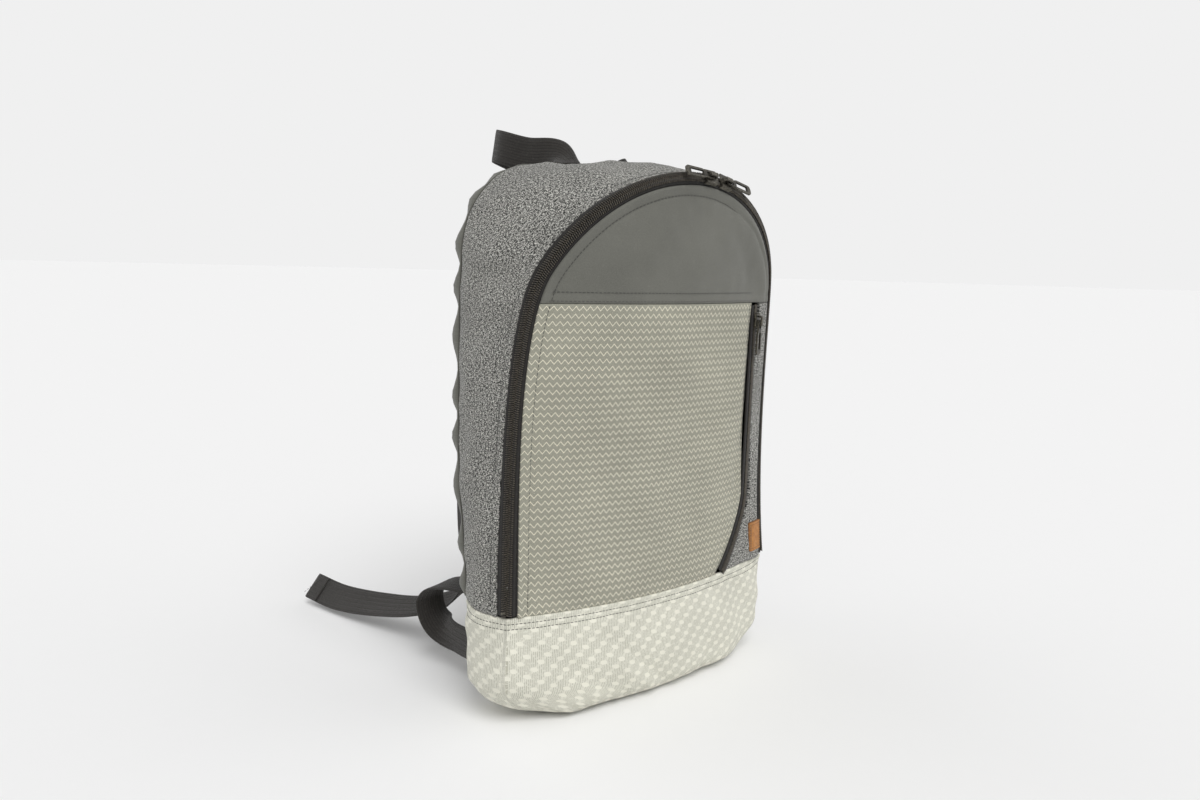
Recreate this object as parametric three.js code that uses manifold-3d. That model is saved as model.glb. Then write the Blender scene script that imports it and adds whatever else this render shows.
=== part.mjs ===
// A zip-round daypack, built the way the sewn object is built: a base boot, a side gusset and a
// padded back panel stand still, and the whole front is a door that a two-slider zip runs round.
// Millimetres, +X to the right seen from the front, +Y towards the wearer's back, +Z up.
// The origin is on the floor, under the middle of the main compartment.
import * as THREE from 'three';
import { mergeVertices } from 'three/addons/utils/BufferGeometryUtils.js';
import Module from 'manifold-3d';

const wasm = await Module();
wasm.setup();

// ---- Driving dimensions -----------------------------------------------------------------------
const packHalfWidth = 150;          // half the width of the back outline
const packHeight = 449;             // top of the back seam
const topCornerRadius = 70;         // rounding of the back outline's upper corners
const backSeamY = 44;               // how far the back seam stands behind the origin
const backSeamFootY = 31;           // the same at the base seam, where the pack is slimmer
const backSeamTopY = 37;            // and at the top
const gussetSwell = 9;              // how far the gusset bulges out between back seam and zip
const clothThickness = 2.6;         // outer cloth, interlining and lining together
const seamGap = 0.4;                // clearance between two sewn pieces
const backSeamGap = 0.9;            // the same along the curved back seam

const baseSeamZ = 93;               // height of the seam between boot and upper pack
const bootWall = 3;                 // doubled jacquard of the boot
const bootEndRun = 84;              // length over which each end of the bottom lifts
const bootEndRise = 34;             // height that the ends of the bottom lift
const bootEdgeRadius = 17;          // rounding along the front and back edges of the bottom

const zipArcRadius = packHalfWidth - 10;           // the sliders run on this circle
const zipArcTilt = THREE.MathUtils.degToRad(21);   // the circle leans forward at the top
const zipArcCentre = new THREE.Vector3(0, -18, packHeight - 141);
const zipArcHalfAngle = THREE.MathUtils.degToRad(65);
const zipFootHalfWidth = packHalfWidth - 1;        // where the zip meets the base seam
const zipFootY = -27;
const zipTapeWidth = 9;             // from the middle of the chain to the seam
const zipFaceAngle = THREE.MathUtils.degToRad(42); // how far the chain faces forward

const chainHalfWidth = 4.2;         // coil, from its middle to its outer edge
const chainSlit = 0.9;              // half the slit between the two coils
const coilHeight = 2;
const tapeThickness = 0.8;
const coilLift = 0.3;               // clearance between tape and coil

const doorSwellFoot = 25.5;         // how far the door's middle stands proud at the base seam
const doorSwellTop = 31;            // and from the arc's centre upwards
const yokeSeamZ = packHeight - 111; // seam between the dark yoke and the pocket panel

const pocketZipX = zipArcRadius - 25; // straight run of the pocket zip
const pocketZipTopZ = yokeSeamZ - 2;
const pocketBendZ = baseSeamZ + 0.28 * (yokeSeamZ - baseSeamZ); // where it starts to curve inwards
const pocketBendDrop = 42;          // how far inwards it ends
const pocketZipLean = 10;           // how far inwards the top of the straight run leans
const pocketTapeWidth = 5.6;
const pocketSeamGap = 0.9;
const pocketDepth = 11;             // room between pocket panel and its lining

const padThickness = 15;            // back padding, behind the back seam
const padEdgeRadius = 16;
const backFoamThickness = 6;
const liningThickness = 1.5;

const strapWidth = 62;
const strapThickness = 10;
const strapEndWidth = 40;
const webWidth = 28;
const webThickness = 1.8;

const sliderLength = 13;
const sliderClearance = 0.6;
const sliderPlate = 1.4;
const pullLength = 31;
const pullThickness = 1.6;

// ---- Vectors and closed solids ----------------------------------------------------------------
const vec = (x, y, z) => new THREE.Vector3(x, y, z);
const clamp01 = (value) => THREE.MathUtils.clamp(value, 0, 1);
const lerp = THREE.MathUtils.lerp;
const ease = (value) => THREE.MathUtils.smoothstep(value, 0, 1);
const range = (count) => Array.from({ length: count }, (_, index) => index);
const steps = (from, to, count) => range(count + 1).map((k) => lerp(from, to, k / count));

// Merges equal corners, drops the triangles that collapse, and turns the faces outwards.
function closedGeometry(points, faces) {
  const loose = new THREE.BufferGeometry();
  loose.setAttribute('position', new THREE.Float32BufferAttribute(points.flatMap((p) => p.toArray()), 3));
  loose.setIndex(faces.flat());
  const merged = mergeVertices(loose, 1e-4);
  const index = merged.index.array;
  const kept = [];
  for (let k = 0; k < index.length; k += 3) {
    const [a, b, c] = [index[k], index[k + 1], index[k + 2]];
    if (a !== b && b !== c && c !== a) kept.push(a, b, c);
  }
  const corner = (id) => new THREE.Vector3().fromBufferAttribute(merged.attributes.position, id);
  let volume = 0;
  for (let k = 0; k < kept.length; k += 3) {
    volume += corner(kept[k]).dot(corner(kept[k + 1]).cross(corner(kept[k + 2])));
  }
  if (volume < 0) kept.reverse();
  merged.setIndex(kept);
  return merged;
}

// A closed slab between an outer and an inner grid of points, both [row][column]. In a ring the
// last column repeats the first, and no wall is needed there.
function slabGeometry(outer, inner, isRing = false) {
  const rows = outer.length;
  const columns = outer[0].length;
  const points = [...outer.flat(), ...inner.flat()];
  const out = (r, c) => r * columns + c;
  const back = (r, c) => rows * columns + r * columns + c;
  const faces = [];
  const quad = (a, b, c, d) => faces.push([a, b, c], [a, c, d]);
  for (const r of range(rows - 1)) {
    for (const c of range(columns - 1)) {
      quad(out(r, c), out(r, c + 1), out(r + 1, c + 1), out(r + 1, c));
      quad(back(r, c), back(r + 1, c), back(r + 1, c + 1), back(r, c + 1));
    }
    if (isRing) continue;
    quad(out(r, 0), out(r + 1, 0), back(r + 1, 0), back(r, 0));
    quad(out(r + 1, columns - 1), out(r, columns - 1), back(r, columns - 1), back(r + 1, columns - 1));
  }
  for (const c of range(columns - 1)) {
    quad(out(0, c + 1), out(0, c), back(0, c), back(0, c + 1));
    quad(out(rows - 1, c), out(rows - 1, c + 1), back(rows - 1, c + 1), back(rows - 1, c));
  }
  return closedGeometry(points, faces);
}

// A closed solid through a list of sections; each section is a convex ring of points.
function loftGeometry(sections) {
  const ring = sections[0].length;
  const points = sections.flat();
  const faces = [];
  for (const s of range(sections.length - 1)) {
    for (const k of range(ring)) {
      const next = (k + 1) % ring;
      const [a, b] = [s * ring + k, s * ring + next];
      faces.push([a, b, b + ring], [a, b + ring, a + ring]);
    }
  }
  const last = (sections.length - 1) * ring;
  for (const k of range(ring - 2)) {
    faces.push([0, k + 2, k + 1], [last, last + k + 1, last + k + 2]);
  }
  return closedGeometry(points, faces);
}

function toManifold(geometry) {
  const bare = geometry.clone();
  bare.deleteAttribute('normal');
  bare.deleteAttribute('uv');
  const merged = mergeVertices(bare, 1e-4);
  return new wasm.Manifold(new wasm.Mesh({
    numProp: 3,
    vertProperties: new Float32Array(merged.attributes.position.array),
    triVerts: new Uint32Array(merged.index.array),
  }));
}

// Joins several overlapping closed geometries into one.
function joined(geometries) {
  const whole = geometries.map(toManifold).reduce((sum, next) => sum.add(next));
  const mesh = whole.getMesh();
  const geometry = new THREE.BufferGeometry();
  geometry.setAttribute('position', new THREE.BufferAttribute(mesh.vertProperties, 3));
  geometry.setIndex(new THREE.BufferAttribute(mesh.triVerts, 1));
  return geometry;
}

// ---- Finishes ---------------------------------------------------------------------------------
const finish = (color, roughness = 0.9, metalness = 0) => ({ color, roughness, metalness });
const melange = finish(0x6f6f6c);
const darkTwill = finish(0x61625c);
const zigzagCloth = finish(0x96968a);
const jacquard = finish(0xe0e0d2);
const webbing = finish(0x2a2724, 0.8);
const zipTape = finish(0x23211f, 0.8);
const zipCoil = finish(0x1c1b1a, 0.45);
const gunmetal = finish(0x35342f, 0.35, 0.9);
const hardPlastic = finish(0x1d1d1d, 0.5);
const leather = finish(0xb97f45, 0.6);
const liningCloth = finish(0x4a4b4a);
const foam = finish(0x5a5a58, 1);

const pack = new THREE.Group();

function piece(parent, name, geometry, look) {
  const mesh = new THREE.Mesh(geometry, new THREE.MeshStandardMaterial(look));
  mesh.name = name;
  parent.add(mesh);
  return mesh;
}

// ---- The path of the main zip -----------------------------------------------------------------
// travel runs from -1 at the left foot over 0 at the top to +1 at the right foot.
const arcUp = vec(0, -Math.sin(zipArcTilt), Math.cos(zipArcTilt));
const arcAxis = vec(0, -Math.cos(zipArcTilt), -Math.sin(zipArcTilt));
const arcShare = 0.38;

function arcPoint(angle, radius = zipArcRadius) {
  return zipArcCentre.clone()
    .addScaledVector(vec(1, 0, 0), radius * Math.sin(angle))
    .addScaledVector(arcUp, radius * Math.cos(angle));
}

function arcTangent(angle) {
  return vec(Math.cos(angle), 0, 0).addScaledVector(arcUp, -Math.sin(angle));
}

const sideStart = arcPoint(zipArcHalfAngle);
const sideRun = new THREE.CubicBezierCurve3(
  sideStart,
  sideStart.clone().addScaledVector(arcTangent(zipArcHalfAngle), 46),
  vec(zipFootHalfWidth - 7, zipFootY + 10, baseSeamZ + 107),
  vec(zipFootHalfWidth, zipFootY, baseSeamZ),
);

const mirrorX = (point, side) => vec(point.x * side, point.y, point.z);

function zipPoint(travel) {
  const side = Math.sign(travel) || 1;
  const share = Math.abs(travel);
  if (share <= arcShare) return mirrorX(arcPoint(zipArcHalfAngle * share / arcShare), side);
  return mirrorX(sideRun.getPoint((share - arcShare) / (1 - arcShare)), side);
}

// The chain's own frame: along it, out of its face, and across it towards the door.
function zipFrame(travel) {
  const side = Math.sign(travel) || 1;
  const share = Math.abs(travel);
  const onSide = clamp01((share - arcShare) / (1 - arcShare));
  const along = share <= arcShare
    ? arcTangent(zipArcHalfAngle * share / arcShare)
    : sideRun.getTangent(onSide);
  const forward = arcAxis.clone().lerp(vec(0, -1, 0), ease(onSide * 1.4));
  forward.addScaledVector(along, -forward.dot(along)).normalize();
  const radial = new THREE.Vector3().crossVectors(forward, along).normalize();
  if (radial.dot(vec(1, 0, 1)) < 0) radial.negate();
  const face = radial.clone().multiplyScalar(Math.cos(zipFaceAngle))
    .addScaledVector(forward, Math.sin(zipFaceAngle));
  const across = radial.clone().multiplyScalar(-Math.sin(zipFaceAngle))
    .addScaledVector(forward, Math.cos(zipFaceAngle));
  return { along: mirrorX(along, side), face: mirrorX(face, side), across: mirrorX(across, side) };
}

// Direction in the plane of the front view that leads from the zip into the door.
function doorInward(travel) {
  const { along } = zipFrame(Math.abs(travel));
  return mirrorX(vec(along.z, 0, -along.x).normalize(), Math.sign(travel) || 1);
}

// ---- Surface of the door ----------------------------------------------------------------------
// The outline of the door, drawn in by an inset, as a table of height against half width and depth.
function doorOutline(inset) {
  const table = range(241).map((k) => {
    const travel = k / 240;
    const point = zipPoint(travel);
    const inward = doorInward(travel);
    return { x: point.x + inward.x * inset, y: point.y, z: point.z + inward.z * inset };
  });
  table[0].x = 0;
  return table;
}

function lookUp(table, z, key) {
  const k = table.findIndex((entry) => entry.z <= z);
  if (k < 0) return table[table.length - 1][key];
  if (k === 0) return table[0][key];
  const [a, b] = [table[k - 1], table[k]];
  return lerp(a[key], b[key], (a.z - z) / (a.z - b.z));
}

const doorEdge = doorOutline(0);

function doorDepth(x, z) {
  const halfWidth = Math.max(lookUp(doorEdge, z, 'x'), 1);
  const rise = clamp01((z - baseSeamZ) / (zipArcCentre.z - baseSeamZ));
  const narrowing = Math.min(1, halfWidth / zipArcRadius) ** 2;
  const swell = lerp(doorSwellFoot, doorSwellTop, rise) * narrowing;
  return lookUp(doorEdge, z, 'y') - swell * (1 - Math.min(1, Math.abs(x) / halfWidth) ** 2);
}

const doorPoint = (x, z) => vec(x, doorDepth(x, z), z);

function doorFace(x, z) {
  const reach = 2;
  const dx = doorPoint(x + reach, z).sub(doorPoint(x - reach, z));
  const dz = doorPoint(x, z + reach).sub(doorPoint(x, z - reach));
  return new THREE.Vector3().crossVectors(dx, dz).normalize();
}

// A cloth panel lying on the door: rows of heights, and for each height a row of x values.
function doorPanel(heights, acrossAt, thickness, sunk = 0) {
  const sunkPoint = (x, z) => doorPoint(x, z).addScaledVector(doorFace(x, z), -sunk);
  const outer = heights.map((z) => acrossAt(z).map((x) => sunkPoint(x, z)));
  const inner = heights.map((z) => acrossAt(z).map((x) => (
    doorPoint(x, z).addScaledVector(doorFace(x, z), -sunk - thickness))));
  return slabGeometry(outer, inner);
}

// ---- Surface of the gusset --------------------------------------------------------------------
function backSeamDepth(z) {
  const foot = ease((z - baseSeamZ) / 130);
  const top = ease((z - zipArcCentre.z) / (packHeight - zipArcCentre.z));
  return lerp(lerp(backSeamFootY, backSeamY, foot), backSeamTopY, top);
}

const topFlat = packHalfWidth - topCornerRadius;
const cornerLength = topCornerRadius * Math.PI / 2;
const sideLength = packHeight - topCornerRadius - baseSeamZ;
const backLength = topFlat + cornerLength + sideLength;

// Point of the back outline and its outward direction, at the same travel as the zip.
function backPoint(travel) {
  const side = Math.sign(travel) || 1;
  const run = Math.abs(travel) * backLength;
  let [x, z, out] = [run, packHeight, vec(0, 0, 1)];
  if (run > topFlat + cornerLength) {
    [x, z, out] = [packHalfWidth, baseSeamZ + backLength - run, vec(side, 0, 0)];
  } else if (run > topFlat) {
    const turn = (run - topFlat) / topCornerRadius;
    x = topFlat + topCornerRadius * Math.sin(turn);
    z = packHeight - topCornerRadius * (1 - Math.cos(turn));
    out = vec(side * Math.sin(turn), 0, Math.cos(turn));
  }
  return { point: vec(side * x, backSeamDepth(z), z), out };
}

function gussetPoint(travel, fromZip) {
  const zip = zipPoint(travel);
  const back = backPoint(travel);
  const share = fromZip / zip.distanceTo(back.point);
  return zip.lerp(back.point, share).addScaledVector(back.out, gussetSwell * Math.sin(Math.PI * share));
}

const gussetWidth = (travel) => zipPoint(travel).distanceTo(backPoint(travel).point);

function gussetFace(travel, fromZip) {
  const t0 = Math.max(-1, travel - 0.005);
  const t1 = Math.min(1, travel + 0.005);
  const along = gussetPoint(t1, fromZip).sub(gussetPoint(t0, fromZip));
  const across = gussetPoint(travel, fromZip + 1).sub(gussetPoint(travel, fromZip - 1));
  return new THREE.Vector3().crossVectors(across, along).normalize().negate();
}

function sideGusset() {
  const gather = (depth) => steps(-1, 1, 48).map((travel) => (
    steps(zipTapeWidth + seamGap, gussetWidth(travel), 6).map((fromZip) => {
      const point = gussetPoint(travel, fromZip).addScaledVector(gussetFace(travel, fromZip), -depth);
      point.z = Math.max(point.z, baseSeamZ + seamGap);
      return point;
    })));
  piece(pack, 'side_gusset', slabGeometry(gather(0), gather(clothThickness)), melange);
}

// ---- Main zip: two tapes, two coils and their stops -------------------------------------------
const zipFoot = 0.985;              // travel at which tape and coil stop above the base seam
const zipSteps = 60;

function zipStrip(low, high, doorSide, widths) {
  const sign = doorSide ? 1 : -1;
  const seamPoint = (travel, height) => {
    if (!doorSide) {
      return gussetPoint(travel, zipTapeWidth).addScaledVector(gussetFace(travel, zipTapeWidth), height);
    }
    const { x, z } = zipPoint(travel).addScaledVector(doorInward(travel), zipTapeWidth);
    return doorPoint(x, z).addScaledVector(doorFace(x, z), height);
  };
  return steps(-zipFoot, zipFoot, zipSteps).map((travel) => {
    const { face, across } = zipFrame(travel);
    const at = (width, height) => (width < zipTapeWidth
      ? zipPoint(travel).addScaledVector(across, sign * width).addScaledVector(face, height)
      : seamPoint(travel, height));
    return [...widths.map((w) => at(w, high)), ...widths.toReversed().map((w) => at(w, low))];
  });
}

function mainZip(door) {
  const tape = [chainSlit, chainHalfWidth, zipTapeWidth];
  const coil = [chainSlit, chainHalfWidth];
  const coilTop = coilLift + coilHeight;
  piece(pack, 'zip_tape_outer', loftGeometry(zipStrip(-tapeThickness, 0, false, tape)), zipTape);
  piece(pack, 'zip_coil_outer', loftGeometry(zipStrip(coilLift, coilTop, false, coil)), zipCoil);
  piece(door, 'zip_tape_inner', loftGeometry(zipStrip(-tapeThickness, 0, true, tape)), zipTape);
  piece(door, 'zip_coil_inner', loftGeometry(zipStrip(coilLift, coilTop, true, coil)), zipCoil);
}

// ---- Door: yoke, pocket panel, side strip, label, pocket lining -------------------------------
const panelEdge = doorOutline(zipTapeWidth + seamGap);
const panelHalfWidth = (z) => lookUp(panelEdge, z, 'x');
const panelTopZ = panelEdge[0].z;

function pocketZipAt(z) {
  const bend = clamp01((pocketBendZ - z) / (pocketBendZ - baseSeamZ));
  const rise = Math.max(0, (z - pocketBendZ) / (pocketZipTopZ - pocketBendZ));
  return pocketZipX - pocketBendDrop * bend ** 1.55 - pocketZipLean * rise;
}

// Half the width that the pocket zip takes out of a level row of cloth, more where it slants.
function pocketZipSide(z) {
  const slant = pocketZipAt(z + 1) - pocketZipAt(z - 1);
  return (pocketTapeWidth + pocketSeamGap) * Math.hypot(1, slant / 2);
}

// Heights that close in towards the top of the arc, so that the last rows stay even along its edge.
function yokeHeights(rows) {
  const rise = panelTopZ - zipArcCentre.z;
  const start = Math.asin((yokeSeamZ + seamGap - zipArcCentre.z) / rise);
  return steps(start, Math.PI / 2, rows).map((angle) => zipArcCentre.z + rise * Math.sin(angle));
}

function frontDoor(door) {
  piece(door, 'front_yoke', doorPanel(yokeHeights(14), (z) => (
    steps(-1, 1, 16).map((share) => share * (z > panelTopZ - 1e-3 ? 0 : panelHalfWidth(z)))
  ), clothThickness), darkTwill);

  const heights = steps(baseSeamZ + seamGap, yokeSeamZ, 14);
  piece(door, 'pocket_panel', doorPanel(heights, (z) => (
    steps(-panelHalfWidth(z), pocketZipAt(z) - pocketZipSide(z), 14)), clothThickness), zigzagCloth);
  piece(door, 'side_strip', doorPanel(heights, (z) => (
    steps(pocketZipAt(z) + pocketZipSide(z), panelHalfWidth(z), 3)), clothThickness), melange);
  const liningReach = (z) => panelHalfWidth(z) - 4;
  const liningHeights = steps(baseSeamZ + 4, yokeSeamZ - 8, 9);
  piece(door, 'pocket_lining', doorPanel(liningHeights, (z) => (
    steps(-liningReach(z), liningReach(z), 10)), liningThickness, clothThickness + pocketDepth), liningCloth);
}

// ---- Pocket zip on the door -------------------------------------------------------------------
const pocketChainHalf = 2.8;
const pocketSlit = 0.8;
const pocketCoilHeight = 1.5;
const pocketTop = doorPoint(pocketZipAt(pocketZipTopZ), pocketZipTopZ);
const pocketBend = doorPoint(pocketZipX, pocketBendZ);
const pocketRun = pocketBend.clone().sub(pocketTop).normalize();

// Middle of the pocket zip: a straight run for its slider, then a curve that stays on the door.
function pocketZipPoint(z) {
  if (z < pocketBendZ) return doorPoint(pocketZipAt(z), z);
  return pocketTop.clone().lerp(pocketBend, (pocketTop.z - z) / (pocketTop.z - pocketBend.z));
}

function pocketZipFrame(z) {
  const straight = z >= pocketBendZ;
  const along = straight ? pocketRun.clone() : pocketZipPoint(z - 1).sub(pocketZipPoint(z)).normalize();
  const middle = (pocketTop.z + pocketBend.z) / 2;
  const outward = doorFace(pocketZipAt(straight ? middle : z), straight ? middle : z);
  const across = new THREE.Vector3().crossVectors(outward, along).normalize();
  return { along, across, face: new THREE.Vector3().crossVectors(along, across) };
}

function pocketStrip(low, high, side, widths) {
  const bend = steps(pocketBendZ, baseSeamZ + 1, 12).slice(1);
  const heights = [...steps(pocketZipTopZ, pocketBendZ, 6), ...bend];
  return heights.map((z) => {
    const { across, face } = pocketZipFrame(z);
    const at = (width, height) => {
      const point = pocketZipPoint(z).addScaledVector(across, side * width);
      if (width < pocketTapeWidth) point.addScaledVector(face, height);
      else point.copy(doorPoint(point.x, point.z)).addScaledVector(doorFace(point.x, point.z), height);
      point.z = Math.max(point.z, baseSeamZ + seamGap);
      return point;
    };
    return [...widths.map((w) => at(w, high)), ...widths.toReversed().map((w) => at(w, low))];
  });
}

function pocketZip(door) {
  const tape = [pocketSlit, pocketChainHalf, pocketTapeWidth];
  const coil = [pocketSlit, pocketChainHalf];
  const coilTop = coilLift + pocketCoilHeight;
  for (const [name, side] of [['left', -1], ['right', 1]]) {
    piece(door, `pocket_tape_${name}`, loftGeometry(pocketStrip(-tapeThickness, 0, side, tape)), zipTape);
    piece(door, `pocket_coil_${name}`, loftGeometry(pocketStrip(coilLift, coilTop, side, coil)), zipCoil);
  }
}

// ---- Leather label on the side strip ----------------------------------------------------------
const labelSize = { width: 19, height: 28, thickness: 1.4 };
const labelMargin = 4;              // from the middle of the pocket zip's straight run
const labelRise = 9;                // above the base seam
const labelPlace = { left: pocketZipX + labelMargin, foot: baseSeamZ + labelRise };

function leatherLabel(door) {
  const heights = steps(labelPlace.foot, labelPlace.foot + labelSize.height, 3);
  const across = () => steps(labelPlace.left, labelPlace.left + labelSize.width, 2);
  const proud = labelSize.thickness + seamGap;
  piece(door, 'leather_label', doorPanel(heights, across, labelSize.thickness, -proud), leather);
}

// ---- Base boot --------------------------------------------------------------------------------
const bootMiddleY = -8;

// The boot's plan at the base seam: along the door's foot, round the side, along the back.
function bootPlan() {
  const front = steps(-zipFootHalfWidth, zipFootHalfWidth, 14).map((x) => doorPoint(x, baseSeamZ));
  const right = steps(0, gussetWidth(1), 5).slice(1).map((w) => gussetPoint(1, w));
  const back = steps(packHalfWidth, -packHalfWidth, 8).slice(1).map((x) => vec(x, backSeamFootY, baseSeamZ));
  const left = right.toReversed().slice(1).map((p) => mirrorX(p, -1));
  return [...front, ...right, ...back, ...left, front[0]];
}

// One level of the boot; wall is 0 for its outer face and the cloth's thickness for the inner one.
function bootLevel(plan, z, wall) {
  const roundIn = (radius, height) => radius * (1 - Math.sqrt(1 - (1 - clamp01(z / height)) ** 2));
  const inX = roundIn(bootEndRun, bootEndRise) + wall;
  const inY = roundIn(bootEdgeRadius, bootEdgeRadius) + wall;
  const halfDepth = backSeamFootY - bootMiddleY;
  const level = wall + z * (baseSeamZ - wall) / baseSeamZ;
  return plan.map((p) => vec(
    p.x * (1 - inX / packHalfWidth),
    bootMiddleY + (p.y - bootMiddleY) * (1 - inY / halfDepth),
    level,
  ));
}

function baseBoot() {
  const plan = bootPlan();
  const turns = steps(0, Math.PI / 2, 7).slice(1);
  const levels = [baseSeamZ, (baseSeamZ + bootEndRise) / 2, bootEndRise,
    ...turns.map((turn) => bootEndRise * (1 - Math.sin(turn)))];
  const shell = (wall) => {
    const rings = levels.map((z) => bootLevel(plan, z, wall));
    return [...rings, plan.map(() => vec(0, bootMiddleY, wall))];
  };
  piece(pack, 'base_boot', slabGeometry(shell(0), shell(bootWall), true), jacquard);
}

// ---- Padded back panel ------------------------------------------------------------------------
const coverThickness = 1.8;
const foamInset = 9.5;              // the foam stops short of the cover's seam
const foamGap = 0.9;                // clearance between foam and cover
const liningInset = clothThickness + 8;
const backFootZ = baseSeamZ + 2;

function backHalfWidth(z) {
  const above = clamp01((z - (packHeight - topCornerRadius)) / topCornerRadius);
  return topFlat + topCornerRadius * Math.sqrt(1 - above * above);
}

function padHeight(x, z) {
  const round = (edge) => Math.sqrt(1 - (1 - clamp01(edge / padEdgeRadius)) ** 2);
  const fromEnd = Math.min(z - backFootZ, packHeight - z);
  return padThickness * round(backHalfWidth(z) - Math.abs(x)) * round(fromEnd);
}

// Rows and columns of the back panel crowd together near its edges, where the pad rounds off.
const edgeSteps = [0, 0.1, 0.35, 0.7, 1].map((share) => share * padEdgeRadius);

function backGrid(inset, depthAt) {
  const foot = backFootZ + inset;
  const top = packHeight - inset;
  const crown = steps(packHeight - topCornerRadius, top - padEdgeRadius - 8, 5);
  const straight = steps(foot + padEdgeRadius, crown[0], 7).slice(1, -1);
  const heights = [...edgeSteps.map((e) => foot + e), ...straight, ...crown,
    ...edgeSteps.toReversed().map((e) => top - e)];
  return heights.map((z) => {
    const half = backHalfWidth(z) - inset;
    const right = edgeSteps.map((e) => half - e);
    const columns = [...right.map((x) => -x), -half / 3, 0, half / 3, ...right.toReversed()];
    return columns.map((x) => vec(x, backSeamDepth(z) + depthAt(x, z), z));
  });
}

function backPanel() {
  const innerPad = (x, z) => backSeamGap + Math.max(0, padHeight(x, z) - coverThickness);
  const outerPad = (x, z) => backSeamGap + coverThickness + padHeight(x, z);
  piece(pack, 'back_cover', slabGeometry(backGrid(0, outerPad), backGrid(0, innerPad)), darkTwill);
  const foamOuter = (x, z) => innerPad(x, z) - foamGap;
  const foamInner = (x, z) => foamOuter(x, z) - backFoamThickness;
  const foamSlab = slabGeometry(backGrid(foamInset, foamOuter), backGrid(foamInset, foamInner));
  piece(pack, 'back_foam', foamSlab, foam);
  piece(pack, 'back_lining', slabGeometry(
    backGrid(liningInset, () => -seamGap),
    backGrid(liningInset, () => -seamGap - liningThickness),
  ), liningCloth);
}

const coverDepth = (x, z) => backSeamDepth(z) + backSeamGap + coverThickness + padHeight(x, z);

// The patch across the top of the back, under which the shoulder straps are sewn.
const yokePatch = { halfWidth: 74, foot: packHeight - 45, height: 24, thickness: 2 };

function strapYoke() {
  const heights = steps(yokePatch.foot, yokePatch.foot + yokePatch.height, 3);
  const grid = (lift) => heights.map((z) => (
    steps(-yokePatch.halfWidth, yokePatch.halfWidth, 8).map((x) => vec(x, coverDepth(x, z) + lift, z))));
  piece(pack, 'strap_yoke', slabGeometry(grid(seamGap), grid(seamGap + yokePatch.thickness)), darkTwill);
}

// ---- Bands: webbing and layered straps that follow a curve ------------------------------------
// Sections of a flat band. widthAt and tiltAt give its width and the direction of that width. A
// level band keeps that direction exactly, so that layers stacked on it stay parallel.
function bandSections(curve, count, widthAt, tiltAt, low, high, isLevel = false) {
  return steps(0, 1, count).map((share) => {
    const middle = curve.getPoint(share);
    const along = curve.getTangent(share);
    const across = tiltAt(share).clone();
    if (!isLevel) across.addScaledVector(along, -across.dot(along)).normalize();
    const face = new THREE.Vector3().crossVectors(across, along).normalize();
    const half = widthAt(share) / 2;
    const at = (side, height) => (
      middle.clone().addScaledVector(across, side * half).addScaledVector(face, height));
    return [at(-1, low), at(1, low), at(1, high), at(-1, high)];
  });
}

// A webbing of the usual width and thickness along a curve.
function webbingGeometry(curve, count, tiltAt) {
  const half = webThickness / 2;
  return loftGeometry(bandSections(curve, count, () => webWidth, tiltAt, -half, half));
}

const smoothCurve = (points) => (
  new THREE.CatmullRomCurve3(points.map((p) => vec(...p)), false, 'centripetal'));

// ---- Shoulder straps: mesh lining, foam, outer cloth, webbing and the ladder lock at the end ---
const strapFoamHalf = strapThickness / 2 - 1.8;
const strapTopGap = 0.6;
const strapRootWidth = 46;
const strapSeam = 4;                // width of the cloth's seams that the foam leaves free
const lockGap = 1.2;                // between the strap's end and the ladder lock
const webbingUpright = vec(0, -0.25, 1).normalize(); // width of a webbing that stands on edge

function strapRoute(side) {
  const topZ = yokePatch.foot + yokePatch.height;
  const seamY = coverDepth(40, topZ - 8) + yokePatch.thickness + 2 * seamGap;
  const topY = seamY + strapThickness / 2 + strapTopGap;
  return smoothCurve([
    [side * 40, topY, topZ], [side * 42, topY + 2.5, topZ - 20], [side * 49, topY + 22, topZ - 62],
    [side * 60, topY + 42, topZ - 118], [side * 73, topY + 47, topZ - 183], [side * 88, topY + 36, 182],
    [side * 101, topY + 20, 138], [side * 106, topY + 13, 118],
  ]);
}

function strapWidthAt(share) {
  const widened = lerp(strapRootWidth, strapWidth, ease(share * 4));
  return widened - (strapWidth - strapEndWidth) * ease(share * 2 - 1);
}

const sideways = () => vec(1, 0, 0);
const lockSize = { width: 38, length: 30, thickness: 4.5, bar: 4, slot: 5, taper: 2 };

function ladderLock(parent, name, at, along) {
  const half = lockSize.width / 2;
  const outline = new THREE.Shape();
  const endHalf = half - lockSize.taper;
  outline.moveTo(-half, 0).lineTo(half, 0).lineTo(endHalf, lockSize.length).lineTo(-endHalf, lockSize.length);
  for (const k of range(3)) {
    const low = lockSize.bar + k * (lockSize.slot + lockSize.bar);
    const slotHalf = half - lockSize.bar;
    const slot = new THREE.Path();
    slot.moveTo(-slotHalf, low).lineTo(-slotHalf, low + lockSize.slot);
    slot.lineTo(slotHalf, low + lockSize.slot).lineTo(slotHalf, low);
    outline.holes.push(slot);
  }
  const geometry = new THREE.ExtrudeGeometry(outline, { depth: lockSize.thickness, bevelEnabled: false });
  geometry.translate(0, 0, -lockSize.thickness / 2);
  const mesh = piece(parent, name, geometry, hardPlastic);
  const across = vec(1, 0, 0);
  mesh.quaternion.setFromRotationMatrix(new THREE.Matrix4().makeBasis(
    across, along, new THREE.Vector3().crossVectors(across, along)));
  mesh.position.copy(at);
  return mesh;
}

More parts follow.
